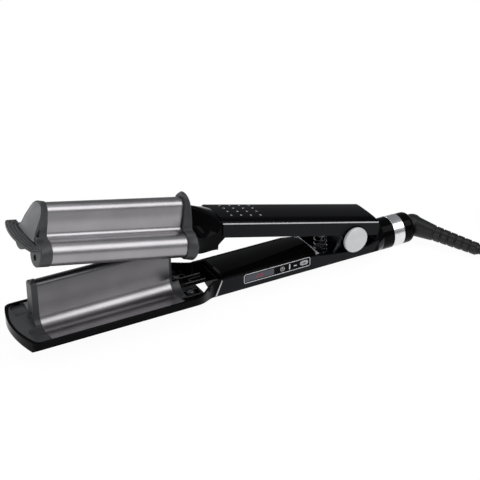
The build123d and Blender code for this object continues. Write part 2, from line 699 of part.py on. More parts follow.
# ---------------------------------------------------------------- hinge
SPRING_X = -20.0
SPRING_RADIUS = 5.0
SPRING_WIRE = 0.6
SPRING_TURNS = 6
SPRING_FOOT = BRACKET_BASE + BRACKET_THICK
SEAT_DROP = 9.7           # lower end of the spring seat, under the line of the upper handle

hinge_plane = Plane.XZ.shift_origin(LOWER.origin)

with BuildPart() as hinge_bracket:
    with BuildSketch(LOWER.offset(BRACKET_BASE)):
        with Locations((-8, 0)):
            Rectangle(40, 2 * LOWER_EAR[1])
    extrude(amount=BRACKET_THICK)
    with BuildSketch(hinge_plane):
        with BuildLine():
            nose = TangentArc((-EAR_RADIUS, 0), (EAR_RADIUS, 0), tangent=(0, 1))
            Polyline(nose @ 1, (12, BRACKET_BASE), (-18, BRACKET_BASE), nose @ 0)
        make_face()
        Circle(PIN_RADIUS, mode=Mode.SUBTRACT)
    extrude(amount=LOWER_EAR[1], both=True)
    with BuildSketch(hinge_plane):
        with Locations((-3, (BRACKET_BASE + BRACKET_THICK + 12) / 2)):
            Rectangle(60, 12 - BRACKET_BASE - BRACKET_THICK)
    extrude(amount=LOWER_EAR[0], both=True, mode=Mode.SUBTRACT)
    with BuildSketch(LOWER.offset(SPRING_FOOT)):
        with Locations((SPRING_X, 0)):
            Circle(SPRING_RADIUS - 1.2)
    extrude(amount=8)
hinge_bracket.part.label = "hinge_bracket"
export_step(hinge_bracket.part, "parts/hinge_bracket.step")

with BuildPart() as hinge_pin:
    with BuildSketch(hinge_plane):
        Circle(PIN_RADIUS)
    extrude(amount=HANDLE_HALF, both=True)
hinge_pin.part.label = "hinge_pin"
export_step(hinge_pin.part, "parts/hinge_pin.step")

with BuildPart() as disc_blank:
    with BuildSketch(hinge_plane.offset(SHELL_HALF)):
        Circle(DISC_RADIUS)
    extrude(amount=DISC_FACE - SHELL_HALF)
    chamfer(disc_blank.faces().sort_by(Axis.Y)[0].edges(), 0.5)
    with BuildSketch(hinge_plane.offset(SHELL_HALF)):
        Circle(PIN_RADIUS)
    extrude(amount=HANDLE_HALF - SHELL_HALF, mode=Mode.SUBTRACT)

with BuildPart() as hinge_cap_left:
    add(disc_blank.part)
hinge_cap_left.part.label = "hinge_cap_left"
export_step(hinge_cap_left.part, "parts/hinge_cap_left.step")

with BuildPart() as hinge_cap_right:
    mirror(disc_blank.part, about=Plane.XZ)
hinge_cap_right.part.label = "hinge_cap_right"
export_step(hinge_cap_right.part, "parts/hinge_cap_right.step")

seat_corner = UPPER_HANDLE.from_local_coords((SPRING_X + SPRING_RADIUS, 0, -SEAT_DROP))
SPRING_HEIGHT = seat_corner.Z - HINGE_Z - SPRING_FOOT - 2 * SPRING_WIRE
spring_plane = Plane(LOWER.from_local_coords((SPRING_X, 0, SPRING_FOOT + SPRING_WIRE)))

with BuildPart() as hinge_spring:
    with BuildLine(spring_plane):
        spring_path = Helix(SPRING_HEIGHT / SPRING_TURNS, SPRING_HEIGHT, SPRING_RADIUS)
    with BuildSketch(Plane(spring_path @ 0, z_dir=spring_path % 0)):
        RegularPolygon(SPRING_WIRE, 6)
    sweep(path=spring_path, is_frenet=True)
hinge_spring.part.label = "hinge_spring"
export_step(hinge_spring.part, "parts/hinge_spring.step")

# ---------------------------------------------------------------- collar
COLLAR_NECK = 11.4        # radius of the collar under its ring
COLLAR_TAIL = 12.3        # radius of the collar behind its ring
TAIL_ROUND = -57.5        # where it starts to round off
COLLAR_HOLLOW = 10.4
COLLAR_PLUG = -52.0       # inner face of the collar's end wall
STUB_RADIUS = 7.0
STUB_FLANGE = 9.4

collar_axis = Axis((HINGE_X, 0, HINGE_Z + COLLAR_Z), (1, 0, 0))
collar_plane = beside(LOWER).shift_origin((HINGE_X, 0, HINGE_Z + COLLAR_Z))

with BuildPart() as rear_collar:
    with BuildSketch(collar_plane):
        with BuildLine():
            Polyline((-COLLAR_FRONT, COLLAR_HOLLOW), (-COLLAR_FRONT, COLLAR_RADIUS),
                     (-RING_FRONT, COLLAR_RADIUS), (-RING_FRONT, COLLAR_NECK),
                     (-RING_REAR, COLLAR_NECK), (-RING_REAR, COLLAR_TAIL), (-TAIL_ROUND, COLLAR_TAIL))
            ThreePointArc((-TAIL_ROUND, COLLAR_TAIL), (-COLLAR_END - 1.2, 10.9),
                          (-COLLAR_END, STUB_RADIUS + 1.2))
            Polyline((-COLLAR_END, STUB_RADIUS + 1.2), (-COLLAR_END, STUB_RADIUS + RUNNING),
                     (-COLLAR_PLUG, STUB_RADIUS + RUNNING), (-COLLAR_PLUG, COLLAR_HOLLOW),
                     (-COLLAR_FRONT, COLLAR_HOLLOW))
        make_face()
    revolve(axis=collar_axis)
rear_collar.part.label = "rear_collar"
export_step(rear_collar.part, "parts/rear_collar.step")

with BuildPart() as collar_ring:
    with BuildSketch(collar_plane):
        with BuildLine():
            Polyline((-RING_FRONT, COLLAR_NECK), (-RING_FRONT, RING_RADIUS - 0.3),
                     (-RING_FRONT + 0.3, RING_RADIUS), (-RING_REAR - 0.8, RING_RADIUS),
                     (-RING_REAR, RING_RADIUS - 0.8), (-RING_REAR, COLLAR_NECK), close=True)
        make_face()
    revolve(axis=collar_axis)
collar_ring.part.label = "collar_ring"
export_step(collar_ring.part, "parts/collar_ring.step")

# ---------------------------------------------------------------- swivel and strain relief
ELBOW_CORNER = Vector(HINGE_X + 66.0, 0, HINGE_Z + COLLAR_Z)
BALL_RADIUS = 8.9
NECK_RADIUS = 8.4         # short neck between the collar and the ball
NECK_GAP = 0.4
SLEEVE_START = 8.2        # radii of the sleeve that leaves the ball
SLEEVE_END = 6.3
ELBOW_REACH = 19.0        # corner to the first rib
RELIEF_REACH = 58.0       # corner to the end of the strain relief
LEAD = Vector(0.515, -0.848, -0.124).normalized()
RELIEF_RIBS = 6
RIB_PITCH = 6.1
RIB_WIDE = 5.0
RIB_FIRST = 6.0
RIB_LAST = 5.0
GROOVE_DEPTH = 0.6
relief_start = ELBOW_CORNER + LEAD * ELBOW_REACH
relief_end = ELBOW_CORNER + LEAD * RELIEF_REACH

with BuildPart() as elbow_ball:
    with Locations(ELBOW_CORNER):
        Sphere(BALL_RADIUS)
    with BuildSketch(Plane(ELBOW_CORNER + LEAD * 2, z_dir=LEAD)):
        Circle(SLEEVE_START)
    with BuildSketch(Plane(relief_start, z_dir=LEAD)):
        Circle(SLEEVE_END)
    loft()
    split(bisect_by=Plane((HINGE_X - COLLAR_END + NECK_GAP, 0, 0), z_dir=(1, 0, 0)), keep=Keep.TOP)

with BuildPart() as swivel_elbow:
    with BuildSketch(collar_plane):
        with BuildLine():
            Polyline((-COLLAR_PLUG - 1.8, 0), (-COLLAR_PLUG - 1.8, STUB_FLANGE),
                     (-COLLAR_PLUG - 0.3, STUB_FLANGE), (-COLLAR_PLUG - 0.3, STUB_RADIUS),
                     (-COLLAR_END + NECK_GAP, STUB_RADIUS), (-COLLAR_END + NECK_GAP, NECK_RADIUS),
                     (ELBOW_CORNER.X - HINGE_X, NECK_RADIUS), (ELBOW_CORNER.X - HINGE_X, 0), close=True)
        make_face()
    revolve(axis=collar_axis)
    add(elbow_ball.part)
swivel_elbow.part.label = "swivel_elbow"
export_step(swivel_elbow.part, "parts/swivel_elbow.step")

relief_plane = Plane(relief_start, x_dir=LEAD, z_dir=LEAD.cross(Vector(0, 0, 1)))

with BuildPart() as strain_relief:
    with BuildSketch(relief_plane):
        with BuildLine():
            outline = [(0, 0), (0, SLEEVE_END - GROOVE_DEPTH)]
            for rib in range(RELIEF_RIBS):
                start = 1.2 + rib * RIB_PITCH
                radius = RIB_FIRST + (RIB_LAST - RIB_FIRST) * rib / (RELIEF_RIBS - 1)
                outline += [(start, radius - GROOVE_DEPTH), (start + 0.6, radius),
                            (start + RIB_WIDE, radius), (start + RIB_WIDE + 0.4, radius - GROOVE_DEPTH)]
            outline += [(RELIEF_REACH - ELBOW_REACH, CORD_RADIUS + 0.4), (RELIEF_REACH - ELBOW_REACH, 0)]
            Polyline(*outline, close=True)
        make_face()
    revolve(axis=Axis(relief_start, LEAD))
strain_relief.part.label = "strain_relief"
export_step(strain_relief.part, "parts/strain_relief.step")

# ---------------------------------------------------------------- cord, coil, tie and plug
COIL_X = 175.65           # centre of the put-away coil, from the hinge
COIL_Y = -36.0
COIL_MEAN = 33.4
COIL_WIDE = 3             # turns beside each other
COIL_HIGH = 4             # turns on each other
TIE_THICK = 0.8
COIL_OUTER = COIL_MEAN + COIL_WIDE * CORD_RADIUS
COIL_INNER = COIL_MEAN - COIL_WIDE * CORD_RADIUS
COIL_TOP = TIE_THICK + 2 * COIL_HIGH * CORD_RADIUS
coil_centre = Plane.XY.shift_origin((HINGE_X + COIL_X, COIL_Y, 0))
coil_section = Plane(coil_centre.origin, x_dir=(1, 0, 0), z_dir=(0, -1, 0))

with BuildPart() as cord_coil:
    with BuildSketch(coil_section):
        with Locations((COIL_MEAN, (COIL_TOP + TIE_THICK) / 2)):
            RectangleRounded(COIL_OUTER - COIL_INNER, COIL_TOP - TIE_THICK, CORD_RADIUS * 0.9)
    revolve(axis=Axis(coil_centre.origin, (0, 0, 1)))
cord_coil.part.label = "cord_coil"
export_step(cord_coil.part, "parts/cord_coil.step")

# points from the strain relief to the outer turn of the coil
CORD_ROUTE = (
    (HINGE_X + 105.15, -64.5, CORD_RADIUS),
    (HINGE_X + 121.65, -73.6, CORD_RADIUS),
    (HINGE_X + 145.65, -73.5, CORD_RADIUS + 0.3),
    (HINGE_X + 172.15, -75.85, CORD_RADIUS + TIE_THICK),
)
route = [relief_end, *[Vector(*place) for place in CORD_ROUTE]]
legs = [after - before for before, after in zip(route, route[1:])]
bends = []
for before, after in zip(legs, legs[1:]):
    turn = radians(before.get_angle(after))
    bends.append(0.45 * min(before.length, after.length) / tan(turn / 2))
print("cord bend radii", [round(bend, 1) for bend in bends])

with BuildPart() as cord_tube:
    with BuildLine():
        cord_path = FilletPolyline(*route, radius=bends)
    with BuildSketch(Plane(cord_path @ 0, z_dir=cord_path % 0)):
        Circle(CORD_RADIUS)
    sweep(path=cord_path)
    fullness = cord_tube.part.volume / (pi * CORD_RADIUS ** 2 * cord_path.length)
    print("cord tube length", round(cord_path.length, 1), "volume ratio", round(fullness, 4))
    add(cord_coil.part, mode=Mode.SUBTRACT)
cord_tube.part.label = "cord_tube"
export_step(cord_tube.part, "parts/cord_tube.step")

# The free end comes off the top turn, down beside the coil, to the plug.
TAIL_START = 208.0        # degrees round the coil
TAIL_STEP = 24.0
TAIL_CLIMBS = (1.0, 0.96, 0.72, 0.36, 0.08, 0.0)
TAIL_OUT = (0.0, 2.4, 5.6, 7.2, 7.2, 7.2)
TAIL_RUN = 17.0           # straight stretch to the plug
LANE = COIL_OUTER - CORD_RADIUS
tail_points = []
for step, (climb, out) in enumerate(zip(TAIL_CLIMBS, TAIL_OUT)):
    height = CORD_RADIUS + climb * (COIL_TOP - 2 * CORD_RADIUS)
    arm = Vector(LANE + out, 0, height).rotate(Axis.Z, TAIL_START + TAIL_STEP * step)
    tail_points.append(coil_centre.from_local_coords(arm))
TAIL_HEADING = TAIL_START + TAIL_STEP * (len(TAIL_OUT) - 1) + 90 + TAIL_STEP / 2
tail_way = Vector(1, 0, 0).rotate(Axis.Z, TAIL_HEADING)
tail_points.append(tail_points[-1] + tail_way * TAIL_RUN)
tail_legs = [after - before for before, after in zip(tail_points, tail_points[1:])]
tail_bends = []
for before, after in zip(tail_legs, tail_legs[1:]):
    turn = radians(before.get_angle(after))
    tail_bends.append(0.45 * min(before.length, after.length) / tan(turn / 2))
print("tail bend radii", [round(bend, 1) for bend in tail_bends])

with BuildPart() as cord_tail:
    with BuildLine():
        tail_path = FilletPolyline(*tail_points, radius=tail_bends)
    with BuildSketch(Plane(tail_path @ 0, z_dir=tail_path % 0)):
        Circle(CORD_RADIUS)
    sweep(path=tail_path)
    print("tail length", round(tail_path.length, 1))
    add(cord_coil.part, mode=Mode.SUBTRACT)
cord_tail.part.label = "cord_tail"
export_step(cord_tail.part, "parts/cord_tail.step")

TIE_ANGLE = 110.0
tie_way = Vector(1, 0, 0).rotate(Axis.Z, TIE_ANGLE)
tie_plane = Plane(coil_centre.origin, x_dir=tie_way, z_dir=tie_way.cross(Vector(0, 0, 1)))
with BuildPart() as cord_tie:
    with BuildSketch(tie_plane):
        with Locations((COIL_MEAN, (COIL_TOP + TIE_THICK) / 2)):
            RectangleRounded(COIL_OUTER - COIL_INNER + 2 * TIE_THICK, COIL_TOP + TIE_THICK, CORD_RADIUS)
            RectangleRounded(COIL_OUTER - COIL_INNER, COIL_TOP - TIE_THICK, CORD_RADIUS * 0.9,
                             mode=Mode.SUBTRACT)
    extrude(amount=5, both=True)
    add(cord_coil.part, mode=Mode.SUBTRACT)
cord_tie.part.label = "cord_tie"
export_step(cord_tie.part, "parts/cord_tie.step")

PLUG_LENGTH = 34.0
PLUG_RELIEF = 22.0
PLUG_THICK = 12.5
PLUG_HALF = 8.6
PIN_SPAN = 19.0
plug_start = tail_points[-1]
plug_foot = Vector(plug_start.X, plug_start.Y, PLUG_THICK / 2) + tail_way * PLUG_RELIEF
plug_plane = Plane(plug_foot, x_dir=tail_way.cross(Vector(0, 0, 1)), z_dir=tail_way)

with BuildPart() as plug_body:
    with BuildSketch(Plane(plug_start, x_dir=plug_plane.x_dir, z_dir=tail_way)):
        Circle(CORD_RADIUS)
    with BuildSketch(plug_plane):
        RectangleRounded(11, 9, 4.2)
    loft()
    with BuildSketch(plug_plane):
        RectangleRounded(13, PLUG_THICK - 1.5, 4)
    with BuildSketch(plug_plane.offset(PLUG_LENGTH * 0.45)):
        RectangleRounded(2 * PLUG_HALF + 4, PLUG_THICK, 4)
    with BuildSketch(plug_plane.offset(PLUG_LENGTH)):
        RectangleRounded(PIN_SPAN + 15, PLUG_THICK, 5.5)
    loft(ruled=True)
plug_body.part.label = "plug_body"
export_step(plug_body.part, "parts/plug_body.step")

with BuildPart() as plug_pins:
    with BuildSketch(plug_plane.offset(PLUG_LENGTH)):
        with GridLocations(PIN_SPAN, 1, 2, 1):
            Circle(2.0)
    extrude(amount=19)
    fillet(plug_pins.faces().filter_by(GeomType.PLANE).sort_by(Axis(plug_foot, tail_way))[-2:].edges(), 0.9)
plug_pins.part.label = "plug_pins"
export_step(plug_pins.part, "parts/plug_pins.step")

# ---------------------------------------------------------------- upper head
with BuildPart() as upper_wave_plate:
    with BuildSketch(across(UPPER, PLATE_TIP)):
        add(bell_section(ARCH_RADIUS, ARCH_FOOT, LOBE_RADIUS, 2.5))
        add(arch_hollow(LOBE_Z - 1), mode=Mode.SUBTRACT)
        with Locations((-LOBE_Y, LOBE_Z), (LOBE_Y, LOBE_Z)):
            Circle(LOBE_BORE, mode=Mode.SUBTRACT)
    extrude(amount=PLATE_TIP - UPPER_HEEL)
upper_wave_plate.part.label = "upper_wave_plate"
export_step(upper_wave_plate.part, "parts/upper_wave_plate.step")

with BuildPart() as upper_heaters:
    with BuildSketch(across(UPPER, PLATE_TIP - 6)):
        with Locations((-LOBE_Y, LOBE_Z), (LOBE_Y, LOBE_Z)):
            Circle(LOBE_BORE)
    extrude(amount=PLATE_TIP - UPPER_HEEL - 12)
upper_heaters.part.label = "upper_heaters"
export_step(upper_heaters.part, "parts/upper_heaters.step")

CAP_GROW = 0.3
CAP_HOLE_Z = LOBE_Z - 2.8
CAP_HOLE = 2.2
GUARD_TOP = GUARD_Z + GUARD_THICK / 2
GUARD_UNDER = GUARD_Z - GUARD_THICK / 2
with BuildPart() as upper_front_cap:
    with BuildSketch(across(UPPER, CAP_FOOT)):
        add(bell_section(ARCH_RADIUS + 2.4, ARCH_FOOT + 3.2, LOBE_RADIUS + CAP_GROW, 2.5))
    extrude(amount=CAP_FOOT - PLATE_TIP)
    with BuildSketch(beside(UPPER)):
        with BuildLine():
            Polyline((-PLATE_TIP, -20), (-CAP_TIP, -20), (-CAP_TIP, GUARD_TOP), (-CAP_FOOT, GUARD_TOP),
                     (-CAP_TIP, 34), (-CAP_TIP, 50), (-PLATE_TIP, 50), close=True)
        make_face()
    extrude(amount=HULL_HALF, both=True, mode=Mode.INTERSECT)
    with BuildSketch(across(UPPER, HOOD_TIP)):
        add(arch_hollow(LOBE_Z - LOBE_RADIUS - 2))
    extrude(amount=HOOD_TIP - PLATE_TIP, mode=Mode.SUBTRACT)
    with BuildSketch(across(UPPER, CAP_TIP)):
        with Locations((0, GUARD_UNDER - 10)):
            Rectangle(2 * HOLLOW_FOOT, 20)
    extrude(amount=CAP_TIP - PLATE_TIP, mode=Mode.SUBTRACT)
    with BuildSketch(across(UPPER, CAP_TIP)):
        with Locations((-LOBE_Y, CAP_HOLE_Z), (LOBE_Y, CAP_HOLE_Z)):
            Circle(CAP_HOLE)
    extrude(amount=5, mode=Mode.SUBTRACT)
upper_front_cap.part.label = "upper_front_cap"
export_step(upper_front_cap.part, "parts/upper_front_cap.step")


def guard_plan(shrink):
    """Plan of the tip guard, ahead of the cap, drawn in by shrink."""
    radius = GUARD_RADIUS - shrink
    half = GUARD_HALF - shrink
    tip = GUARD_TIP - shrink
    corner = tip - radius + (radius ** 2 - half ** 2) ** 0.5
    with BuildSketch() as plan:
        with BuildLine():
            near = Line((-CAP_TIP, -half), (-corner, -half))
            nose = ThreePointArc(near @ 1, (-tip, 0), (-corner, half))
            far = Line(nose @ 1, (-CAP_TIP, half))
            Line(far @ 1, near @ 0)
        make_face()
        fillet(plan.vertices().group_by(Axis.X)[0], 3.0)
    return plan.sketch


GUARD_RIDGES = 3
RIDGE_PITCH = 2.4
with BuildPart() as upper_tip_guard:
    with BuildSketch(UPPER.offset(GUARD_UNDER)):
        add(guard_plan(0))
    extrude(amount=GUARD_THICK)
    for ridge in range(GUARD_RIDGES):
        with BuildSketch(UPPER.offset(GUARD_TOP)):
            add(guard_plan(1.2 + ridge * RIDGE_PITCH))
            add(guard_plan(2.1 + ridge * RIDGE_PITCH), mode=Mode.SUBTRACT)
        extrude(amount=0.6)
    add(upper_front_cap.part, mode=Mode.SUBTRACT)
upper_tip_guard.part.label = "upper_tip_guard"
export_step(upper_tip_guard.part, "parts/upper_tip_guard.step")

FLANGE_REAR = 140.8       # rear face of the upper flange beside the barrels; it leans forward
FLANGE_LEAN = 8.2         # degrees
flange_back = across(UPPER, FLANGE_REAR).rotated((-FLANGE_LEAN, 0, 0))
with BuildPart() as upper_rear_flange:
    with BuildSketch(across(UPPER, UPPER_HEEL)):
        add(bell_section(ARCH_RADIUS + 3.2, ARCH_FOOT + 4.3, LOBE_RADIUS + 1.8, 4.0))
    extrude(amount=UPPER_HEEL - FLANGE_REAR + 3)
    chamfer(upper_rear_flange.faces().sort_by(Axis.X)[0].outer_wire().edges(), 0.9)
    with BuildSketch(across(UPPER, UPPER_HEEL)):
        add(arch_hollow(LOBE_Z - 14))
    extrude(amount=UPPER_HEEL - FLANGE_REAR + 3, mode=Mode.SUBTRACT)
    split(bisect_by=flange_back, keep=Keep.BOTTOM)
upper_rear_flange.part.label = "upper_rear_flange"
export_step(upper_rear_flange.part, "parts/upper_rear_flange.step")

# ---------------------------------------------------------------- upper handle
REAR_BEVEL = ((-UPPER_REAR - 3.8, UPPER_CROWN + 0.1), (-UPPER_REAR, 0), (-UPPER_REAR + 1.5, -5.0),
              (-UPPER_REAR + 1.5, -UPPER_SIDE - 0.1))
STUD_PLACES = (109.5, 101.2, 92.9, 84.6)
STUD_ROWS = (-8.85, -2.95, 2.95, 8.85)
STUD_RADIUS = 0.8
STUD_DEPTH = 1.2
STUD_STAND = 0.35
CROWN_HALF = 10.5         # the crown is flatter this far from the middle plane
CROWN_DROP = 0.5
FRAME_TOP = -2.4          # underside of the cover's roof

with BuildPart() as cover_length:
    with BuildSketch(beside(UPPER_HANDLE)):
        with BuildLine():
            Polyline((-UPPER_FRONT, UPPER_CROWN + 0.1), *REAR_BEVEL, (-UPPER_FRONT, -UPPER_SIDE - 0.1),
                     close=True)
        make_face()
    extrude(amount=20, both=True)

with BuildPart() as upper_disc_room:
    with BuildSketch(hinge_plane):
        Circle(DISC_RADIUS + DISC_GAP)
    extrude(amount=UPPER_HALF + 1, both=True)
    with BuildSketch(hinge_plane):
        Circle(DISC_RADIUS + DISC_GAP)
    extrude(amount=UPPER_SHELL, both=True, mode=Mode.SUBTRACT)

with BuildPart() as pin_room:
    with BuildSketch(hinge_plane):
        Circle(PIN_RADIUS + 0.5)
    extrude(amount=UPPER_HALF + 1, both=True)


def crown_height(offset):
    """Height of the upper cover's crown at an offset from the middle plane."""
    radius = (CROWN_HALF ** 2 + CROWN_DROP ** 2) / (2 * CROWN_DROP)
    return UPPER_CROWN - radius + (radius ** 2 - offset ** 2) ** 0.5


with BuildPart() as studs:
    for row in STUD_ROWS:
        with BuildSketch(UPPER_HANDLE.offset(crown_height(row) + STUD_STAND)):
            with Locations(*[(-place, row) for place in STUD_PLACES]):
                Circle(STUD_RADIUS)
        extrude(amount=-STUD_DEPTH)

with BuildPart() as upper_handle_cover:
    with BuildSketch(across(UPPER_HANDLE, UPPER_FRONT)):
        with BuildLine():
            far = ThreePointArc((-UPPER_HALF, 0), (-13.9, 1.8), (-CROWN_HALF, UPPER_CROWN - CROWN_DROP))
            crown = ThreePointArc(far @ 1, (0, UPPER_CROWN), (CROWN_HALF, UPPER_CROWN - CROWN_DROP))
            near = ThreePointArc(crown @ 1, (13.9, 1.8), (UPPER_HALF, 0))
            Polyline(near @ 1, (UPPER_SHELL, 0), (UPPER_SHELL, -UPPER_SIDE), (UPPER_INNER, -UPPER_SIDE),
                     (UPPER_INNER, FRAME_TOP), (-UPPER_INNER, FRAME_TOP), (-UPPER_INNER, -UPPER_SIDE),
                     (-UPPER_SHELL, -UPPER_SIDE), (-UPPER_SHELL, 0), far @ 0)
        make_face()
    extrude(amount=UPPER_FRONT - UPPER_REAR + 2)
    add(cover_length.part, mode=Mode.INTERSECT)
    with BuildSketch(across(UPPER_HANDLE, UPPER_REAR + 1)):
        with Locations((0, (FRAME_TOP - UPPER_SIDE + 2) / 2)):
            Rectangle(2 * UPPER_INNER, FRAME_TOP + UPPER_SIDE - 2)
    extrude(amount=1.5)
    add(pin_room.part, mode=Mode.SUBTRACT)
    add(studs.part, mode=Mode.SUBTRACT)
upper_handle_cover.part.label = "upper_handle_cover"
export_step(upper_handle_cover.part, "parts/upper_handle_cover.step")

with BuildPart() as grip_studs:
    add(studs.part)
grip_studs.part.label = "grip_studs"
export_step(grip_studs.part, "parts/grip_studs.step")

TRIM_Y = (UPPER_SHELL + UPPER_HALF) / 2
with BuildPart() as upper_trim_strips:
    with BuildSketch(across(UPPER_HANDLE, UPPER_FRONT - 1)):
        with Locations((-TRIM_Y, -TRIM / 2), (TRIM_Y, -TRIM / 2)):
            Rectangle(UPPER_HALF - UPPER_SHELL + 0.1, TRIM)
    extrude(amount=UPPER_FRONT - UPPER_REAR - 1)
    add(upper_handle_cover.part, mode=Mode.SUBTRACT)
upper_trim_strips.part.label = "upper_trim_strips"
export_step(upper_trim_strips.part, "parts/upper_trim_strips.step")

with BuildPart() as upper_panel_blank:
    with BuildSketch(beside(UPPER_HANDLE, UPPER_SHELL)):
        with BuildLine():
            Polyline((-UPPER_FRONT + 1.5, -TRIM), (-UPPER_REAR + 0.2, -TRIM), (-UPPER_REAR + 1.5, -5.0),
                     (-UPPER_REAR + 1.5, -UPPER_SIDE), (-UPPER_FRONT + 5, -UPPER_SIDE),
                     (-UPPER_FRONT + 3.5, -UPPER_SIDE + 1.2), close=True)
        make_face()
    extrude(amount=UPPER_HALF - UPPER_SHELL)
    add(upper_disc_room.part, mode=Mode.SUBTRACT)

with BuildPart() as upper_side_panel_left:
    add(upper_panel_blank.part)
upper_side_panel_left.part.label = "upper_side_panel_left"
export_step(upper_side_panel_left.part, "parts/upper_side_panel_left.step")

with BuildPart() as upper_side_panel_right:
    mirror(upper_panel_blank.part, about=Plane.XZ)
upper_side_panel_right.part.label = "upper_side_panel_right"
export_step(upper_side_panel_right.part, "parts/upper_side_panel_right.step")

INNER_COVER_FRONT = 112.0
INNER_COVER_REAR = 30.0
with BuildPart() as upper_inner_cover:
    with BuildSketch(across(UPPER_HANDLE, INNER_COVER_FRONT)):
        with Locations((0, -UPPER_SIDE + 1.3)):
            Rectangle(2 * UPPER_INNER, 1.8)
    extrude(amount=INNER_COVER_FRONT - INNER_COVER_REAR)
upper_inner_cover.part.label = "upper_inner_cover"
export_step(upper_inner_cover.part, "parts/upper_inner_cover.step")

with BuildPart() as upper_hinge_frame:
    with BuildSketch(UPPER_HANDLE.offset(FRAME_TOP)):
        with Locations((-7, 0)):
            Rectangle(42, 2 * UPPER_EAR[1])
    extrude(amount=-BRACKET_THICK)
    with BuildSketch(beside(UPPER_HANDLE)):
        with BuildLine():
            Polyline((-22, FRAME_TOP), (12, FRAME_TOP), (EAR_RADIUS, -UPPER_LINE), (-EAR_RADIUS, -UPPER_LINE),
                     close=True)
        make_face()
    extrude(amount=UPPER_EAR[1], both=True)
    with BuildSketch(hinge_plane):
        Circle(EAR_RADIUS)
    extrude(amount=UPPER_EAR[1], both=True)
    with BuildSketch(beside(UPPER_HANDLE)):
        with Locations((-7, FRAME_TOP - BRACKET_THICK - 20)):
            Rectangle(60, 40)
    extrude(amount=UPPER_EAR[0], both=True, mode=Mode.SUBTRACT)
    with BuildSketch(hinge_plane):
        Circle(PIN_RADIUS + RUNNING)
    extrude(amount=UPPER_HALF, both=True, mode=Mode.SUBTRACT)
    with BuildSketch(UPPER_HANDLE.offset(-SEAT_DROP)):
        with Locations((SPRING_X, 0)):
            Circle(SPRING_RADIUS + 0.6)
    extrude(amount=SEAT_DROP + FRAME_TOP - 1)
upper_hinge_frame.part.label = "upper_hinge_frame"
export_step(upper_hinge_frame.part, "parts/upper_hinge_frame.step")

SCREW_DEPTH = 1.6         # the screws sit this deep in the cap
with BuildPart() as upper_screws:
    with BuildSketch(across(UPPER, CAP_TIP - SCREW_DEPTH)):
        with Locations((-LOBE_Y, CAP_HOLE_Z), (LOBE_Y, CAP_HOLE_Z)):
            Circle(CAP_HOLE)
            Rectangle(3.0, 0.6, mode=Mode.SUBTRACT)
    extrude(amount=1.0)
    with BuildSketch(across(UPPER, CAP_TIP - SCREW_DEPTH - 1.0)):
        with Locations((-LOBE_Y, CAP_HOLE_Z), (LOBE_Y, CAP_HOLE_Z)):
            Circle(CAP_HOLE)
    extrude(amount=5 - SCREW_DEPTH - 1.0)
upper_screws.part.label = "upper_screws"
export_step(upper_screws.part, "parts/upper_screws.step")

# ---------------------------------------------------------------- upper neck
NECK_END = 119.7
# ahead, then half width and height of base, chin, shoulder, waist and top, then the crown's height
UPPER_NECK_STATIONS = (
    (FLANGE_REAR, (20.0, -4.0), (21.0, 0.8), (20.5, 8.0), (7.5, 13.0), (3.0, 25.2), 26.3),
    (134.0, (18.5, -2.8), (17.3, 1.0), (17.0, 8.5), (8.0, 13.8), (4.4, 24.2), 25.5),
    (127.0, (17.0, -2.2), (16.0, 1.1), (16.0, 9.8), (11.5, 15.5), (8.0, 22.2), 23.8),
    (NECK_END, (16.2, -1.8), (15.6, 1.2), (15.7, 13.0), (15.8, 16.0), (15.8, 18.7), 22.0),
)
CHIN_REAR = 113.0
CHIN_REAR_Z = 6.8

with BuildPart() as neck_shape:
    for ahead, base, chin, shoulder, waist, top, crown in UPPER_NECK_STATIONS:
        side = (base, chin, shoulder, waist, top)
        with BuildSketch(flange_back if ahead == FLANGE_REAR else across(UPPER, ahead)):
            with BuildLine():
                Polyline(*side)
                ThreePointArc(top, (0, crown), (-top[0], top[1]))
                Polyline(*[(-half, height) for half, height in reversed(side)])
                Line((-base[0], base[1]), base)
            make_face()
    loft()

with BuildPart() as upper_neck:
    add(neck_shape.part)
    with BuildSketch(beside(UPPER)):
        with BuildLine():
            Polyline((-NECK_END, -1.8), (-CHIN_REAR, CHIN_REAR_Z), (-CHIN_REAR, 15.8), (-NECK_END, 15.8),
                     close=True)
        make_face()
    extrude(amount=UPPER_INNER, both=True)
    add(upper_handle_cover.part, mode=Mode.SUBTRACT)
upper_neck.part.label = "upper_neck"
export_step(upper_neck.part, "parts/upper_neck.step")
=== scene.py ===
"""Deep hair waver: materials, small detail, mains lead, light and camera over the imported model."""
import json
from math import acos, cos, degrees, pi, radians, sin

import bmesh
import bpy
from mathutils import Matrix, Vector

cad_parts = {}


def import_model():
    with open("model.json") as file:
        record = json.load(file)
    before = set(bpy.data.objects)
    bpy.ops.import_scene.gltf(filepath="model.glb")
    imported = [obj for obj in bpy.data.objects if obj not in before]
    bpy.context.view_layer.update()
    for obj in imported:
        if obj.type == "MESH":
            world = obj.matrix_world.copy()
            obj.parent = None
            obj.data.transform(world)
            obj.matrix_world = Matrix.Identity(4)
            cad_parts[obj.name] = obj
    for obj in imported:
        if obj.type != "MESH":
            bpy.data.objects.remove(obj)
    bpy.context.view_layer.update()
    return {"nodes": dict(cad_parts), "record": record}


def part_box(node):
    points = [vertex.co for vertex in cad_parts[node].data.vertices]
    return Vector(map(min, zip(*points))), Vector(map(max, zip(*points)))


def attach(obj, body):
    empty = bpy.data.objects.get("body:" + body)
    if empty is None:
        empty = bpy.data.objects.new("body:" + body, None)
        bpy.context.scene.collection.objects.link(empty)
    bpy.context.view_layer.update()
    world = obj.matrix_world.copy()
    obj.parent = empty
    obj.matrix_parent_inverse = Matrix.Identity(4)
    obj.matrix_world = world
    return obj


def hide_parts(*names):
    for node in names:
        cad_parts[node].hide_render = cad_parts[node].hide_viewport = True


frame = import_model()

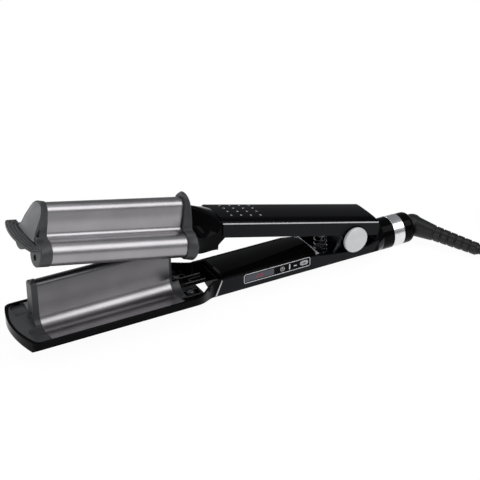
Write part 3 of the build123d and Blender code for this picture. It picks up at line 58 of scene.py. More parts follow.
# ---------------------------------------------------------------- sizes, in metres
HINGE = Vector((0.10435, 0.0, 0.025))
OPENING = radians(11.6)            # of the arms at rest

CORD_RADIUS = 0.0033
COIL_CENTRE = Vector((0.28, -0.036, 0.0))
COIL_MEAN = 0.0334
COIL_LANES = (1, 0, -1)            # lanes of the coil from the outside in, in cord diameters
TIE_THICK = 0.0008                 # the tie passes under the coil and lifts it by this much


# ---------------------------------------------------------------- node helpers
EDGE_FULL = 0.80                   # cosine between face and softened normal where an edge is fully paled, by rubbing and painted highlight
EDGE_NONE = 0.985                  # and where the paling ends


class Shader:
    """A material's node tree, built up one node at a time."""

    def __init__(self, name):
        self.material = bpy.data.materials.new(name)
        self.material.use_nodes = True
        self.tree = self.material.node_tree
        self.surface = self.tree.nodes["Principled BSDF"]
        self.rounded = None            # normal with softened edges, once asked for

    def node(self, kind, **values):
        made = self.tree.nodes.new(kind)
        for key, value in values.items():
            if hasattr(made, key):
                setattr(made, key, value)
            else:
                made.inputs[key.replace("_", " ")].default_value = value
        return made

    def link(self, start, end):
        self.tree.links.new(start, end)

    def set(self, **values):
        for key, value in values.items():
            self.surface.inputs[key.replace("_", " ")].default_value = value

    def place(self, scale):
        """Object coordinates, scaled along each axis."""
        where = self.node("ShaderNodeTexCoord")
        mapping = self.node("ShaderNodeMapping")
        mapping.inputs["Scale"].default_value = scale
        self.link(where.outputs["Object"], mapping.inputs["Vector"])
        return mapping.outputs["Vector"]

    def noise(self, scale, detail=3.0, stretch=(1, 1, 1)):
        made = self.node("ShaderNodeTexNoise", Scale=scale, Detail=detail)
        self.link(self.place(stretch), made.inputs["Vector"])
        return made.outputs["Fac"]

    def range(self, value, low, high, start=0.0, end=1.0):
        """value from start..end mapped to low..high."""
        made = self.node("ShaderNodeMapRange")
        made.inputs["From Min"].default_value = start
        made.inputs["From Max"].default_value = end
        made.inputs["To Min"].default_value = low
        made.inputs["To Max"].default_value = high
        self.link(value, made.inputs["Value"])
        return made.outputs["Result"]

    def ramp(self, value, stops):
        made = self.node("ShaderNodeValToRGB")
        while len(made.color_ramp.elements) < len(stops):
            made.color_ramp.elements.new(0.5)
        for element, (place, color) in zip(made.color_ramp.elements, stops):
            element.position = place
            element.color = (*color, 1)
        self.link(value, made.inputs["Fac"])
        return made.outputs["Color"]

    def color(self, value):
        self.link(value, self.surface.inputs["Base Color"])

    def rough(self, value, low, high):
        """Roughness between low and high, following value."""
        self.link(self.range(value, low, high), self.surface.inputs["Roughness"])

    def soften(self, radius):
        """Edges as they leave a mould or a tumbler: the normal turns over this radius."""
        bevel = self.node("ShaderNodeBevel", samples=4, Radius=radius)
        self.rounded = bevel.outputs["Normal"]
        self.link(self.rounded, self.surface.inputs["Normal"])

    def edge_rub_and_glint(self, color, rub_and_glint_color, amount):
        """The colour, paled towards an edge colour by a share amount where the softened normal leaves the
        face: rubbing, and a painted edge highlight.
        """
        here = self.node("ShaderNodeNewGeometry")
        turn = self.node("ShaderNodeVectorMath", operation="DOT_PRODUCT")
        self.link(self.rounded, turn.inputs[0])
        self.link(here.outputs["Normal"], turn.inputs[1])
        rub_and_glint_mask = self.range(turn.outputs["Value"], amount, 0.0, EDGE_FULL, EDGE_NONE)
        mix = self.node("ShaderNodeMixRGB")
        mix.inputs["Color2"].default_value = (*rub_and_glint_color, 1)
        self.link(rub_and_glint_mask, mix.inputs["Fac"])
        self.link(color, mix.inputs["Color1"])
        self.color(mix.outputs["Color"])

    def bump(self, value, strength, distance):
        made = self.node("ShaderNodeBump")
        made.inputs["Strength"].default_value = strength
        made.inputs["Distance"].default_value = distance
        self.link(value, made.inputs["Height"])
        if self.rounded is not None:
            self.link(self.rounded, made.inputs["Normal"])
        self.link(made.outputs["Normal"], self.surface.inputs["Normal"])


# ---------------------------------------------------------------- materials
def titanium(name, painted_shade_share=1.0, low=0.0, high=1.0):
    """Heated plate: satin titanium with a fine drawn grain, darkened by painted shade from one height to
    another.
    """
    shader = Shader(name)
    grain = shader.noise(900.0, 4.0, (0.03, 1.0, 1.0))
    cloud = shader.noise(60.0, 2.0)
    where = shader.node("ShaderNodeSeparateXYZ")
    shader.link(shader.place((1, 1, 1)), where.inputs["Vector"])
    # Painted shade: full brightness at the lower height, darkening to the given share at the upper one.
    shade = shader.range(where.outputs["Z"], 1.0, painted_shade_share, low, high)
    mix = shader.node("ShaderNodeMixRGB", blend_type="MULTIPLY")
    mix.inputs["Fac"].default_value = 1.0
    shader.link(shader.ramp(cloud, ((0.3, (0.315, 0.305, 0.318)), (0.7, (0.355, 0.345, 0.358)))),
                mix.inputs["Color1"])
    shader.link(shade, mix.inputs["Color2"])
    shader.set(Metallic=1.0)
    shader.color(mix.outputs["Color"])
    shader.rough(grain, 0.28, 0.36)
    shader.bump(grain, 0.05, 0.00002)
    return shader.material


def grey_nylon(name, rim_rub_and_glint, amount):
    """Heat-proof caps and flanges: dark grey, fine eroded texture, paler on their rims from rubbing and
    from a painted edge highlight.
    """
    shader = Shader(name)
    grain = shader.noise(2600.0, 2.0)
    cloud = shader.noise(90.0, 3.0)
    shader.soften(0.0005)
    color = shader.ramp(cloud, ((0.25, (0.030, 0.031, 0.034)), (0.75, (0.041, 0.042, 0.046))))
    shader.edge_rub_and_glint(color, (rim_rub_and_glint, rim_rub_and_glint, 1.05 * rim_rub_and_glint), amount)
    shader.rough(grain, 0.36, 0.50)
    shader.bump(grain, 0.25, 0.00004)
    return shader.material


def gloss_black():
    """Piano-black housing with the faint ripple of a moulded gloss surface and finger haze."""
    shader = Shader("gloss_black")
    ripple = shader.noise(70.0, 2.0)
    smudge = shader.noise(35.0, 4.0)
    shader.set(IOR=1.12, Specular_IOR_Level=0.5)
    shader.soften(0.0004)
    color = shader.ramp(smudge, ((0.3, (0.0018, 0.0018, 0.0022)), (0.7, (0.0030, 0.0030, 0.0035))))
    # Paler edges: a painted edge glint, as this gloss reflects too little to show highlights of its own.
    shader.edge_rub_and_glint(color, (0.020, 0.020, 0.021), 0.8)
    shader.rough(smudge, 0.05, 0.11)
    shader.bump(ripple, 0.03, 0.0002)
    return shader.material


def neck_black():
    """Skeleton neck: black nylon with a semi-gloss skin that catches the light on its ribs, helped by a
    painted highlight on their edges.
    """
    shader = Shader("neck_black")
    grain = shader.noise(1200.0, 2.0)
    shader.set(Specular_IOR_Level=0.5)
    shader.soften(0.0005)
    color = shader.ramp(grain, ((0.3, (0.0030, 0.0030, 0.0035)), (0.7, (0.0050, 0.0050, 0.0055))))
    # Paler edges: rubbing and a painted edge highlight.
    shader.edge_rub_and_glint(color, (0.030, 0.030, 0.032), 0.8)
    shader.rough(grain, 0.20, 0.30)
    return shader.material


def satin_charcoal():
    """Side panels: soft satin, slightly blue charcoal."""
    shader = Shader("satin_charcoal")
    grain = shader.noise(3000.0, 2.0)
    cloud = shader.noise(40.0, 3.0)
    shader.set(Specular_IOR_Level=0.12)
    shader.soften(0.0003)
    color = shader.ramp(cloud, ((0.3, (0.0040, 0.0045, 0.0060)), (0.7, (0.0058, 0.0062, 0.0080))))
    shader.edge_rub_and_glint(color, (0.022, 0.023, 0.025), 0.6)
    shader.rough(grain, 0.38, 0.50)
    shader.bump(grain, 0.10, 0.00002)
    return shader.material


def bright_chrome():
    """Polished chrome trim with the haze of handling."""
    shader = Shader("bright_chrome")
    haze = shader.noise(120.0, 3.0)
    shader.set(Metallic=1.0)
    shader.soften(0.00025)
    color = shader.ramp(haze, ((0.3, (0.74, 0.74, 0.76)), (0.7, (0.84, 0.84, 0.86))))
    shader.edge_rub_and_glint(color, (0.92, 0.92, 0.93), 0.5)
    shader.rough(haze, 0.18, 0.27)
    return shader.material


def satin_trim():
    """Silver lines: brushed foil, less bright than the chrome."""
    shader = Shader("satin_trim")
    grain = shader.noise(700.0, 3.0, (0.05, 1.0, 1.0))
    shader.set(Metallic=1.0)
    shader.soften(0.0002)
    color = shader.ramp(grain, ((0.3, (0.44, 0.44, 0.46)), (0.7, (0.54, 0.54, 0.56))))
    shader.edge_rub_and_glint(color, (0.75, 0.75, 0.76), 0.5)
    shader.rough(grain, 0.22, 0.34)
    return shader.material


def marking(name, low, high):
    """Printed mark, a little uneven like all pad printing."""
    shader = Shader(name)
    patch = shader.noise(1500.0, 2.0)
    shader.color(shader.ramp(patch, ((0.3, low), (0.7, high))))
    shader.rough(patch, 0.35, 0.5)
    return shader.material


def disc_silver():
    """Hinge caps: bead-blasted silver, lighter at the turned rim."""
    shader = Shader("disc_silver")
    grain = shader.noise(2200.0, 2.0)
    cloud = shader.noise(150.0, 3.0)
    shader.set(Metallic=0.15)
    shader.soften(0.0004)
    color = shader.ramp(cloud, ((0.3, (0.70, 0.70, 0.71)), (0.7, (0.77, 0.77, 0.78))))
    shader.edge_rub_and_glint(color, (0.92, 0.92, 0.93), 0.8)
    shader.rough(grain, 0.42, 0.55)
    shader.bump(grain, 0.15, 0.00002)
    return shader.material


def button_grey():
    """Light grey moulded key."""
    shader = Shader("button_grey")
    grain = shader.noise(1800.0, 2.0)
    cloud = shader.noise(200.0, 2.0)
    shader.soften(0.0003)
    color = shader.ramp(cloud, ((0.3, (0.40, 0.41, 0.43)), (0.7, (0.46, 0.47, 0.49))))
    shader.edge_rub_and_glint(color, (0.62, 0.63, 0.64), 0.5)
    shader.rough(grain, 0.30, 0.40)
    shader.bump(grain, 0.08, 0.00002)
    return shader.material


def display_glass():
    """Unlit display behind a dark window, a little uneven in tone."""
    shader = Shader("display_glass")
    shade = shader.noise(45.0, 1.0)
    smear = shader.noise(180.0, 3.0)
    shader.color(shader.ramp(shade, ((0.3, (0.030, 0.036, 0.052)), (0.7, (0.060, 0.070, 0.095)))))
    shader.rough(smear, 0.06, 0.16)
    return shader.material


def light_white():
    """Frosted indicator bar."""
    shader = Shader("light_white")
    frost = shader.noise(900.0, 2.0)
    shader.color(shader.ramp(frost, ((0.3, (0.80, 0.80, 0.82)), (0.7, (0.88, 0.88, 0.89)))))
    shader.rough(frost, 0.35, 0.5)
    return shader.material


def board_green():
    """Solder resist of the circuit boards."""
    shader = Shader("board_green")
    weave = shader.noise(700.0, 2.0)
    shader.color(shader.ramp(weave, ((0.3, (0.008, 0.045, 0.018)), (0.7, (0.014, 0.065, 0.028)))))
    shader.rough(weave, 0.28, 0.42)
    return shader.material


def heater_white():
    """Ceramic heating elements."""
    shader = Shader("heater_white")
    speck = shader.noise(800.0, 5.0)
    shader.color(shader.ramp(speck, ((0.35, (0.55, 0.52, 0.47)), (0.65, (0.72, 0.69, 0.64)))))
    shader.rough(speck, 0.6, 0.8)
    return shader.material


def dark_steel():
    """Blackened steel of the hinge parts and screws, bright only at its scuffed edges."""
    shader = Shader("dark_steel")
    cloud = shader.noise(260.0, 4.0)
    shader.set(Metallic=1.0)
    shader.soften(0.0002)
    color = shader.ramp(cloud, ((0.3, (0.10, 0.10, 0.11)), (0.7, (0.20, 0.20, 0.21))))
    shader.edge_rub_and_glint(color, (0.45, 0.45, 0.46), 0.7)
    shader.rough(cloud, 0.28, 0.42)
    return shader.material


def lead_rubber():
    """Soft black jacket of the lead and its strain relief."""
    shader = Shader("lead_rubber")
    grain = shader.noise(1500.0, 3.0)
    dust = shader.noise(110.0, 4.0)
    shader.set(Specular_IOR_Level=0.35)
    shader.color(shader.ramp(dust, ((0.35, (0.007, 0.007, 0.008)), (0.75, (0.013, 0.013, 0.014)))))
    shader.rough(grain, 0.34, 0.50)
    shader.bump(grain, 0.12, 0.00003)
    return shader.material


def plug_nickel():
    """Plain bright nickel of the plug's pins."""
    shader = Shader("plug_nickel")
    haze = shader.noise(400.0, 3.0)
    shader.set(Metallic=1.0)
    shader.color(shader.ramp(haze, ((0.3, (0.58, 0.55, 0.49)), (0.7, (0.66, 0.63, 0.57)))))
    shader.rough(haze, 0.15, 0.28)
    return shader.material


def satin_face():
    """Paler satin grey of the panel on the cap's front."""
    shader = Shader("satin_face")
    grain = shader.noise(2400.0, 2.0)
    cloud = shader.noise(70.0, 3.0)
    shader.soften(0.0003)
    color = shader.ramp(cloud, ((0.3, (0.24, 0.24, 0.25)), (0.7, (0.28, 0.28, 0.29))))
    shader.edge_rub_and_glint(color, (0.36, 0.36, 0.37), 0.5)
    shader.rough(grain, 0.30, 0.42)
    shader.bump(grain, 0.12, 0.00003)
    return shader.material


MATERIALS = {
    "plate_titanium": titanium("titanium_plate"),
    "cap_grey": grey_nylon("grey_nylon", rim_rub_and_glint=0.10, amount=0.7),
    "gloss_black": gloss_black(),
    "satin_charcoal": satin_charcoal(),
    "bright_chrome": bright_chrome(),
    "disc_silver": disc_silver(),
    "button_grey": button_grey(),
    "display_glass": display_glass(),
    "light_white": light_white(),
    "board_green": board_green(),
    "heater_white": heater_white(),
    "zinc_steel": dark_steel(),
    "lead_rubber": lead_rubber(),
    "plug_nickel": plug_nickel(),
}


def repaint(thing, material):
    """Gives an object a finish of its own within its slot."""
    thing.data.materials.clear()
    thing.data.materials.append(material)


def dress(thing, slot):
    """Gives an object the material of a slot."""
    repaint(thing, MATERIALS[slot])


for part in frame["record"]["subparts"]:
    dress(frame["nodes"][part["node"]], part["material_slot"])

rib_black = neck_black()
silver_line = satin_trim()
repaint(frame["nodes"]["lower_neck_frame"], rib_black)
# The guard's ridges are paled strongly: rubbing and a painted highlight.
repaint(frame["nodes"]["upper_tip_guard"], grey_nylon("guard_nylon", rim_rub_and_glint=0.26, amount=0.95))
for node in ("upper_trim_strips", "lower_front_trims", "bezel_ring"):
    repaint(frame["nodes"][node], silver_line)

# ---------------------------------------------------------------- places on the arms, in mm
LOBE_Y = 14.3                      # middle of a barrel of the upper arm
LOBE_Z = 3.0
BORE_SIDE = 9.0                    # from a barrel's middle to the side of the arch's hollow
HOLLOW_CENTRE = 26.2               # round top of the hollow
HOLLOW_RADIUS = 4.6
CROWN_END = 14                     # degrees above level where the crown hands over to the flank
CROWN_STEPS = 14
BARREL_STEPS = 36
HOLLOW_STEPS = 8
BEND_STEPS = 9
TURN_PULL = 0.6                    # how far the turn's handles reach towards its far end
SHARP = 38.0                       # degrees between two faces that meet in a visible edge
MM = 0.001


def upper(ahead, side, up):
    """Point of the upper arm, opened as it is at rest."""
    return HINGE + MM * Vector((up * sin(OPENING) - ahead * cos(OPENING), side,
                                ahead * sin(OPENING) + up * cos(OPENING)))


def lower(ahead, side, up):
    """Point of the lower arm."""
    return HINGE + MM * Vector((-ahead, side, up))


def arc(centre, radius, start, end, count):
    """Points of an arc in a cross-section, angles in degrees."""
    angles = [radians(start + (end - start) * step / count) for step in range(count + 1)]
    return [(centre[0] + radius * cos(angle), centre[1] + radius * sin(angle)) for angle in angles]


def bend(start, first, second, end, count):
    """Points of a cubic curve, without its two ends."""
    points = []
    for step in range(1, count):
        t = step / count
        weights = ((1 - t) ** 3, 3 * t * (1 - t) ** 2, 3 * t * t * (1 - t), t ** 3)
        corners = (start, first, second, end)
        points.append(tuple(sum(w * c[axis] for w, c in zip(weights, corners)) for axis in (0, 1)))
    return points


def mirrored(half):
    """Closed outline from its right half, which starts and ends on the middle line."""
    return half + [(-side, up) for side, up in reversed(half[1:-1])]


def bell(crest, radius, foot, lobe, touch, hollow=True, clear=0.0):
    """Outline of the upper arm: an arch that swells down to two barrels, hollow in the middle.

    crest and radius give the crown, foot is where the flank turns outwards, lobe is the barrels' radius,
    touch is the angle where the turn meets the barrel, and clear widens the hollow.
    """
    crown = arc((0, crest - radius), radius, 90, CROWN_END, CROWN_STEPS)
    last = degrees(acos(min(1.0, (BORE_SIDE - clear) / lobe))) - 180
    barrel = arc((LOBE_Y, LOBE_Z), lobe, touch, last, BARREL_STEPS)
    shoulder = crown[-1]
    drop = shoulder[1] - foot[1]
    # The flank leaves the crown at 14 degrees from upright and reaches its foot almost upright.
    steep = (shoulder[0] + 0.1 * drop, shoulder[1] - 0.4 * drop)
    lean = (foot[0] - 0.25, foot[1] + 0.45 * drop)
    flank = bend(shoulder, steep, lean, foot, BEND_STEPS)
    down = foot[1] - barrel[0][1]
    out = barrel[0][0] - foot[0]
    turn = bend(foot, (foot[0] + 0.2, foot[1] - TURN_PULL * down),
                (barrel[0][0] - TURN_PULL * out, barrel[0][1] + 0.02), barrel[0], BEND_STEPS)
    half = crown + flank + [foot] + turn + barrel
    if not hollow:
        return mirrored(half + [(0, LOBE_Z)])
    inside = arc((0, HOLLOW_CENTRE), HOLLOW_RADIUS + clear, 0, 90, HOLLOW_STEPS)
    return mirrored(half + inside)


def skin(name, body, slot, rings, closed_ring=False, sharp=SHARP):
    """Piece lofted through rings of points, with end faces or with the last ring joined to the first."""
    size = len(rings[0])
    points = [point for ring in rings for point in ring]
    faces = []
    for index in range(len(rings) if closed_ring else len(rings) - 1):
        here = index * size
        there = ((index + 1) % len(rings)) * size
        faces += [(here + step, here + (step + 1) % size, there + (step + 1) % size, there + step)
                  for step in range(size)]
    if not closed_ring:
        faces += [tuple(reversed(range(size))), tuple(range(len(points) - size, len(points)))]
    return piece(name, body, slot, points, faces, sharp)


def prism(first, count):
    """Faces of a prism whose two outlines of count points follow each other from the point first."""
    ends = [tuple(range(first, first + count)), tuple(range(first + count, first + 2 * count))]
    sides = [(first + step, first + (step + 1) % count, first + count + (step + 1) % count,
              first + count + step) for step in range(count)]
    return ends + sides


def shape(name, points, faces):
    """Object of a closed mesh with its faces turned outwards."""
    mesh = bpy.data.meshes.new(name)
    mesh.from_pydata(points, [], faces)
    solid = bmesh.new()
    solid.from_mesh(mesh)
    bmesh.ops.recalc_face_normals(solid, faces=solid.faces)
    solid.to_mesh(mesh)
    solid.free()
    made = bpy.data.objects.new(name, mesh)
    bpy.context.collection.objects.link(made)
    return made


def smooth(thing, sharp):
    """Smooth shading, broken where faces meet at more than an angle."""
    thing.data.shade_smooth()
    thing.data.set_sharp_from_angle(angle=radians(sharp))


def piece(name, body, slot, points, faces, sharp=SHARP):
    """Mesh object with smooth faces and sharp folds, dressed and riding on a body."""
    made = shape(name, points, faces)
    smooth(made, sharp)
    dress(made, slot)
    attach(made, body)
    return made


# ---------------------------------------------------------------- wave plates
UPPER_HEEL = 148.0                 # hidden in the rear flange
LOWER_HEEL = 151.2
TOE = 251.2                        # where both plates meet their caps
TOE_GAP = 0.1                      # the upper plate ends this much short of its cap
PLATE_BELL = (33.3, 6.4, (8.5, 16.0), 9.0, 97)
TONGUE_RADIUS = 4.2
TONGUE_CENTRE = 22.9
VALLEY_RADIUS = 10.1
BEAD_RADIUS = 0.7                  # rolled edge of the lower plate
BEAD_CENTRE = (27.1, -6.05)
PLATE_FLOOR = -9.6
TONGUE_PAINTED_SHADE = 0.36                 # share of brightness left where the painted shade on the tongue is darkest
PAINTED_SHADE_FROM = 0.018                  # heights, in metres, over which the painted shade darkens the tongue
PAINTED_SHADE_TO = 0.048


def upper_plate():
    """Upper wave plate: the arch leans out as it comes down and sweeps into both barrels."""
    outline = bell(*PLATE_BELL)
    rings = [[upper(ahead, side, up) for side, up in outline] for ahead in (UPPER_HEEL, TOE - TOE_GAP)]
    made = skin("upper_wave_skin", "upper_arm", "plate_titanium", rings)
    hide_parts("upper_wave_plate")


def lower_plate():
    """Lower wave plate: round-topped tongue, two valleys and turned-down outer edges."""
    crown = arc((0, TONGUE_CENTRE), TONGUE_RADIUS, 90, 0, 16)
    valley = arc((LOBE_Y, LOBE_Z), VALLEY_RADIUS, 180, 283, 34)
    bead = arc(BEAD_CENTRE, BEAD_RADIUS, 150, -10, 8)
    half = crown + valley + bead + [(27.8, -8.4), (26.4, PLATE_FLOOR), (0, PLATE_FLOOR)]
    rings = [[lower(ahead, side, up) for side, up in mirrored(half)] for ahead in (LOWER_HEEL, TOE)]
    made = skin("lower_wave_skin", "lower_arm", "plate_titanium", rings)
    # The upper part of the tongue is darkened with painted shade.
    repaint(made, titanium("titanium_tongue_painted_shade", TONGUE_PAINTED_SHADE, PAINTED_SHADE_FROM, PAINTED_SHADE_TO))
    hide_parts("lower_wave_plate")


# ---------------------------------------------------------------- caps of the upper arm
GUARD_LEVEL = 9.7                  # the tip guard starts at this height
CAP_FRONT = 259.8                  # front of the cap below the guard
FACE_FOOT = 263.0                  # front of the cap at the height FACE_LEVEL
FACE_LEVEL = 8.0
FACE_LEAN = 0.3                    # the cap's face leans back by this much for each mm up
RIM_BELL = (34.2, 10.4, (12.4, 17.0), 9.3, 78)
EDGE_BELL = (33.7, 10.0, (11.9, 17.0), 8.9, 80)    # the rim's outline inside its rounded edge
BACK_BELL = (33.9, 7.0, (9.1, 16.4), 9.3, 96)
CAP_WALL = 0.8
CAP_EDGE = 0.4                     # depth of the rounded edge
CAP_CLEAR = 0.4                    # more room in the cap's hollow than in the plate's
SOCKET_Z = 0.2
SOCKET_RADIUS = 2.2
SOCKET_SIDES = 32
SOCKET_SPAN = (257.6, 261.0)       # from the bottom of a socket to beyond the cap's front
PANEL_RADIUS = 9.5                 # crown of the satin panel
PANEL_CENTRE = 23.6
PANEL_SINK = 0.5
PANEL_EDGE = 0.1                   # level of the panel's edge, before it rounds up to its face
PANEL_PROUD = 0.22
PANEL_SHRINK = 0.985


def face_ahead(up):
    """How far ahead the cap's front is at a height."""
    if up < GUARD_LEVEL:
        return CAP_FRONT
    return FACE_FOOT - FACE_LEAN * (up - FACE_LEVEL)


def upper_cap():
    """Front cap: a dark collar that flares from the plate to a leaning arched face."""
    back = bell(*BACK_BELL, clear=CAP_CLEAR)
    rim = bell(*RIM_BELL, clear=CAP_CLEAR)
    start = [upper(TOE, side, up) for side, up in back]
    end = [upper(face_ahead(up) - CAP_WALL, side, up) for side, up in rim]
    collar = skin("upper_cap_collar", "upper_arm", "cap_grey", [start, end])
    front = bell(*RIM_BELL, hollow=False)
    edge = bell(*EDGE_BELL, hollow=False)
    rings = [[upper(face_ahead(up) - CAP_WALL, side, up) for side, up in front],
             [upper(face_ahead(up) - CAP_EDGE, side, up) for side, up in front],
             [upper(face_ahead(up), side, up) for side, up in edge]]
    nose = skin("upper_cap_nose", "upper_arm", "cap_grey", rings, sharp=30.0)
    for thing in (collar, nose):
        sockets(thing)
    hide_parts("upper_front_cap")


def socket_cutter(hand):
    """Round bar along the arm where a screw socket goes."""
    ring = arc((LOBE_Y * hand, SOCKET_Z), SOCKET_RADIUS, 0, 360, SOCKET_SIDES)[:-1]
    points = [upper(ahead, side, up) for ahead in SOCKET_SPAN for side, up in ring]
    return shape("socket", points, prism(0, SOCKET_SIDES))


def sockets(thing):
    """Cuts the two screw sockets into the barrels' ends."""
    for hand in (-1, 1):
        cutter = socket_cutter(hand)
        cut = thing.modifiers.new("socket", "BOOLEAN")
        cut.operation = "DIFFERENCE"
        cut.solver = "EXACT"
        cut.object = cutter
        bpy.context.view_layer.update()
        result = thing.evaluated_get(bpy.context.evaluated_depsgraph_get())
        thing.data = bpy.data.meshes.new_from_object(result)
        thing.modifiers.remove(cut)
        bpy.data.objects.remove(cutter)
    smooth(thing, 30.0)


def cap_face():
    """Lighter satin panel let into the leaning face of the cap, above the tip guard."""
    crown = arc((0, PANEL_CENTRE), PANEL_RADIUS, 90, 8, 16)
    half = crown + [(10.6, 19.0), (11.3, 16.0), (12.6, 13.2), (14.0, 11.4), (0, 10.8)]
    outline = mirrored(half)
    rings = [[upper(face_ahead(up) + proud, side * grow, up) for side, up in outline]
             for proud, grow in ((-PANEL_SINK, 1.0), (PANEL_EDGE, 1.0), (PANEL_PROUD, PANEL_SHRINK))]
    made = skin("upper_cap_face", "upper_arm", "cap_grey", rings, sharp=60.0)
    repaint(made, satin_face())


# ---------------------------------------------------------------- rear flange and neck
FLANGE_FRONT = 149.2               # front edge at the height FLANGE_LEVEL
FLANGE_REAR = 140.8                # rear edge at and below that height
FLANGE_LEVEL = 5.0
FRONT_LEAN = -0.04                 # mm ahead for each mm above the level
FOOT_LEAN = 0.09                   # and below it
REAR_LEAN = 0.13
NECK_LEAN = 0.144                  # lean of the neck's front end, where the root joins it
WEB_SPAN = (147.8, 147.1)
ROOT_FRONT = 147.4
ROOT_SIDE = [(4.6, 19.0), (6.2, 15.0), (7.8, 12.8), (12.0, 11.2), (17.0, 9.6), (20.2, 8.0), (20.9, 0.8),
             (19.8, -4.0)]
ROOT_HOLLOW = [(7.0, -4.0), (5.2, -1.0), (5.2, 9.0), (4.4, 14.0), (0, 15.5)]


def flange_front(up):
    """How far ahead the flange's front edge is at a height."""
    above = up - FLANGE_LEVEL
    return FLANGE_FRONT + FRONT_LEAN * max(0.0, above) + FOOT_LEAN * min(0.0, above)


def flange_rear(up):
    """How far ahead the flange's rear edge is at a height."""
    return FLANGE_REAR + REAR_LEAN * max(0.0, up - FLANGE_LEVEL)


def rear_flange():
    """Rear flange: flared rim round the plate's heel, wider at its foot."""
    front = bell(36.0, 8.2, (10.9, 17.2), 9.9, 92)      # outlines from the front edge round to the inside
    edge = bell(36.3, 8.9, (11.4, 17.0), 10.4, 90)
    rear = bell(36.9, 11.0, (13.2, 16.6), 11.3, 80)
    lip = bell(36.2, 10.2, (12.6, 16.4), 10.6, 82)
    inner = bell(33.6, 6.4, (9.2, 16.2), 9.2, 96)
    rings = [[upper(flange_front(up), side, up) for side, up in inner],
             [upper(flange_front(up) + 0.1, side, up) for side, up in front],
             [upper(flange_front(up) - 0.6, side, up) for side, up in edge],
             [upper(flange_rear(up) + 1.1, side, up) for side, up in rear],
             [upper(flange_rear(up) + 0.2, side, up) for side, up in lip],
             [upper(flange_rear(up) + 0.6, side, up) for side, up in inner]]
    made = skin("upper_flange_rim", "upper_arm", "cap_grey", rings, closed_ring=True, sharp=28.0)
    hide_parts("upper_rear_flange")


def throat():
    """Black web that fills the flange, and the root of the neck that grows out of it."""
    web = bell(33.9, 6.8, (9.5, 16.2), 9.5, 96, hollow=False)
    rings = [[upper(ahead, side, up) for side, up in web] for ahead in WEB_SPAN]
    skin("flange_web", "upper_arm", "gloss_black", rings)
    root = mirrored(arc((0, 23.2), 3.1, 90, 10, 8) + ROOT_SIDE + ROOT_HOLLOW)
    rings = [[upper(ROOT_FRONT, side, up) for side, up in root],
             [upper(FLANGE_REAR + NECK_LEAN * up, side, up) for side, up in root]]
    skin("neck_root", "upper_arm", "gloss_black", rings)


SCOOP_FACE = 11.3                  # radii of a band's two faces
SCOOP_BACK = 12.4
SCOOP_FROM = 205                   # degrees round the barrel
SCOOP_TO = 283
SCOOP_SPAN = (149.7, 149.2, 144.4, 143.8)


def lower_scoops():
    """Slate bands behind the lower plate's heel, one under each barrel of the upper arm."""
    for name, hand in (("lower_scoop_left", 1), ("lower_scoop_right", -1)):
        face = arc((LOBE_Y, LOBE_Z), SCOOP_FACE, SCOOP_FROM, SCOOP_TO, 20)
        back = arc((LOBE_Y, LOBE_Z), SCOOP_BACK, SCOOP_TO, SCOOP_FROM, 20)
        band = [(side * hand, up) for side, up in face + back]
        rings = [[lower(ahead, side, up) for side, up in band] for ahead in SCOOP_SPAN]
        skin(name, "lower_arm", "cap_grey", rings)


RIB_SIDE = 4.45                    # middle of a rib from the arm's middle
RIB_HALF = 0.6
RIB_CENTRE = -6.0                  # middle of the rib's rounded top
RIB_FOOT = -8.4
RIB_FRONT = 139.4
RIB_REAR = 121.6
RIB_TAPER = 0.8                    # length over which each end drops


def neck_ribs():
    """Two slim webs with rounded tops down the middle of the open neck."""
    full = RIB_CENTRE + RIB_HALF
    low = RIB_CENTRE - RIB_HALF
    stations = ((RIB_FRONT, low), (RIB_FRONT - RIB_TAPER, full),
                (RIB_REAR + RIB_TAPER, full), (RIB_REAR, low))
    for name, middle in (("neck_rib_left", RIB_SIDE), ("neck_rib_right", -RIB_SIDE)):
        top = arc((middle, RIB_CENTRE), RIB_HALF, 0, 180, 10)
        section = top + [(middle - RIB_HALF, RIB_FOOT), (middle + RIB_HALF, RIB_FOOT)]
        rings = [[lower(ahead, side, min(up, cap)) for side, up in section] for ahead, cap in stations]
        repaint(skin(name, "lower_arm", "gloss_black", rings), rib_black)


BAR_SECTION = ((33.4, -3.4), (33.6, -2.5), (34.0, -2.2), (35.4, -2.2), (35.9, -2.5), (36.1, -3.4))
BAR_SIDES = (-5.0, -4.7, 14.0, 14.3)


def cover_bar():
    """Moulded grey bar across the rear end of the lower inner cover."""
    rings = [[lower(ahead, side, up) for ahead, up in BAR_SECTION] for side in BAR_SIDES]
    skin("cover_end_bar", "lower_arm", "button_grey", rings)


upper_plate()
lower_plate()
neck_ribs()
cover_bar()
upper_cap()
cap_face()
rear_flange()
throat()
lower_scoops()

# ---------------------------------------------------------------- marks on the controls
MARK_WHITE = marking("mark_white", (0.60, 0.60, 0.62), (0.72, 0.72, 0.74))
MARK_DARK = marking("mark_dark", (0.045, 0.045, 0.050), (0.070, 0.070, 0.075))
MARK_RED = marking("mark_red", (0.42, 0.012, 0.020), (0.60, 0.020, 0.030))
MARK_PROUD = 0.06                  # above the face it is printed on, in mm
MARK_SINK = 0.05                   # and into it
DIGIT_SIZE = 0.62                  # half the width of a digit, in mm
DIGIT_PITCH = 3.2                  # from digit to digit, in half widths
STROKE_LONG = 0.75                 # half length and half width of a stroke, in half widths
STROKE_WIDE = 0.22
# Middle of each stroke of a digit, in half widths, and whether it lies flat.
SEGMENTS = {
    "a": (0, 2, True), "b": (1, 1, False), "c": (1, -1, False), "d": (0, -2, True),
    "e": (-1, -1, False), "f": (-1, 1, False), "g": (0, 0, True),
}
DIGITS = {"2": "abged", "0": "abcdef"}
HEXAGON = [(2.0 * cos(radians(60 * step)), 2.0 * sin(radians(60 * step))) for step in range(6)]


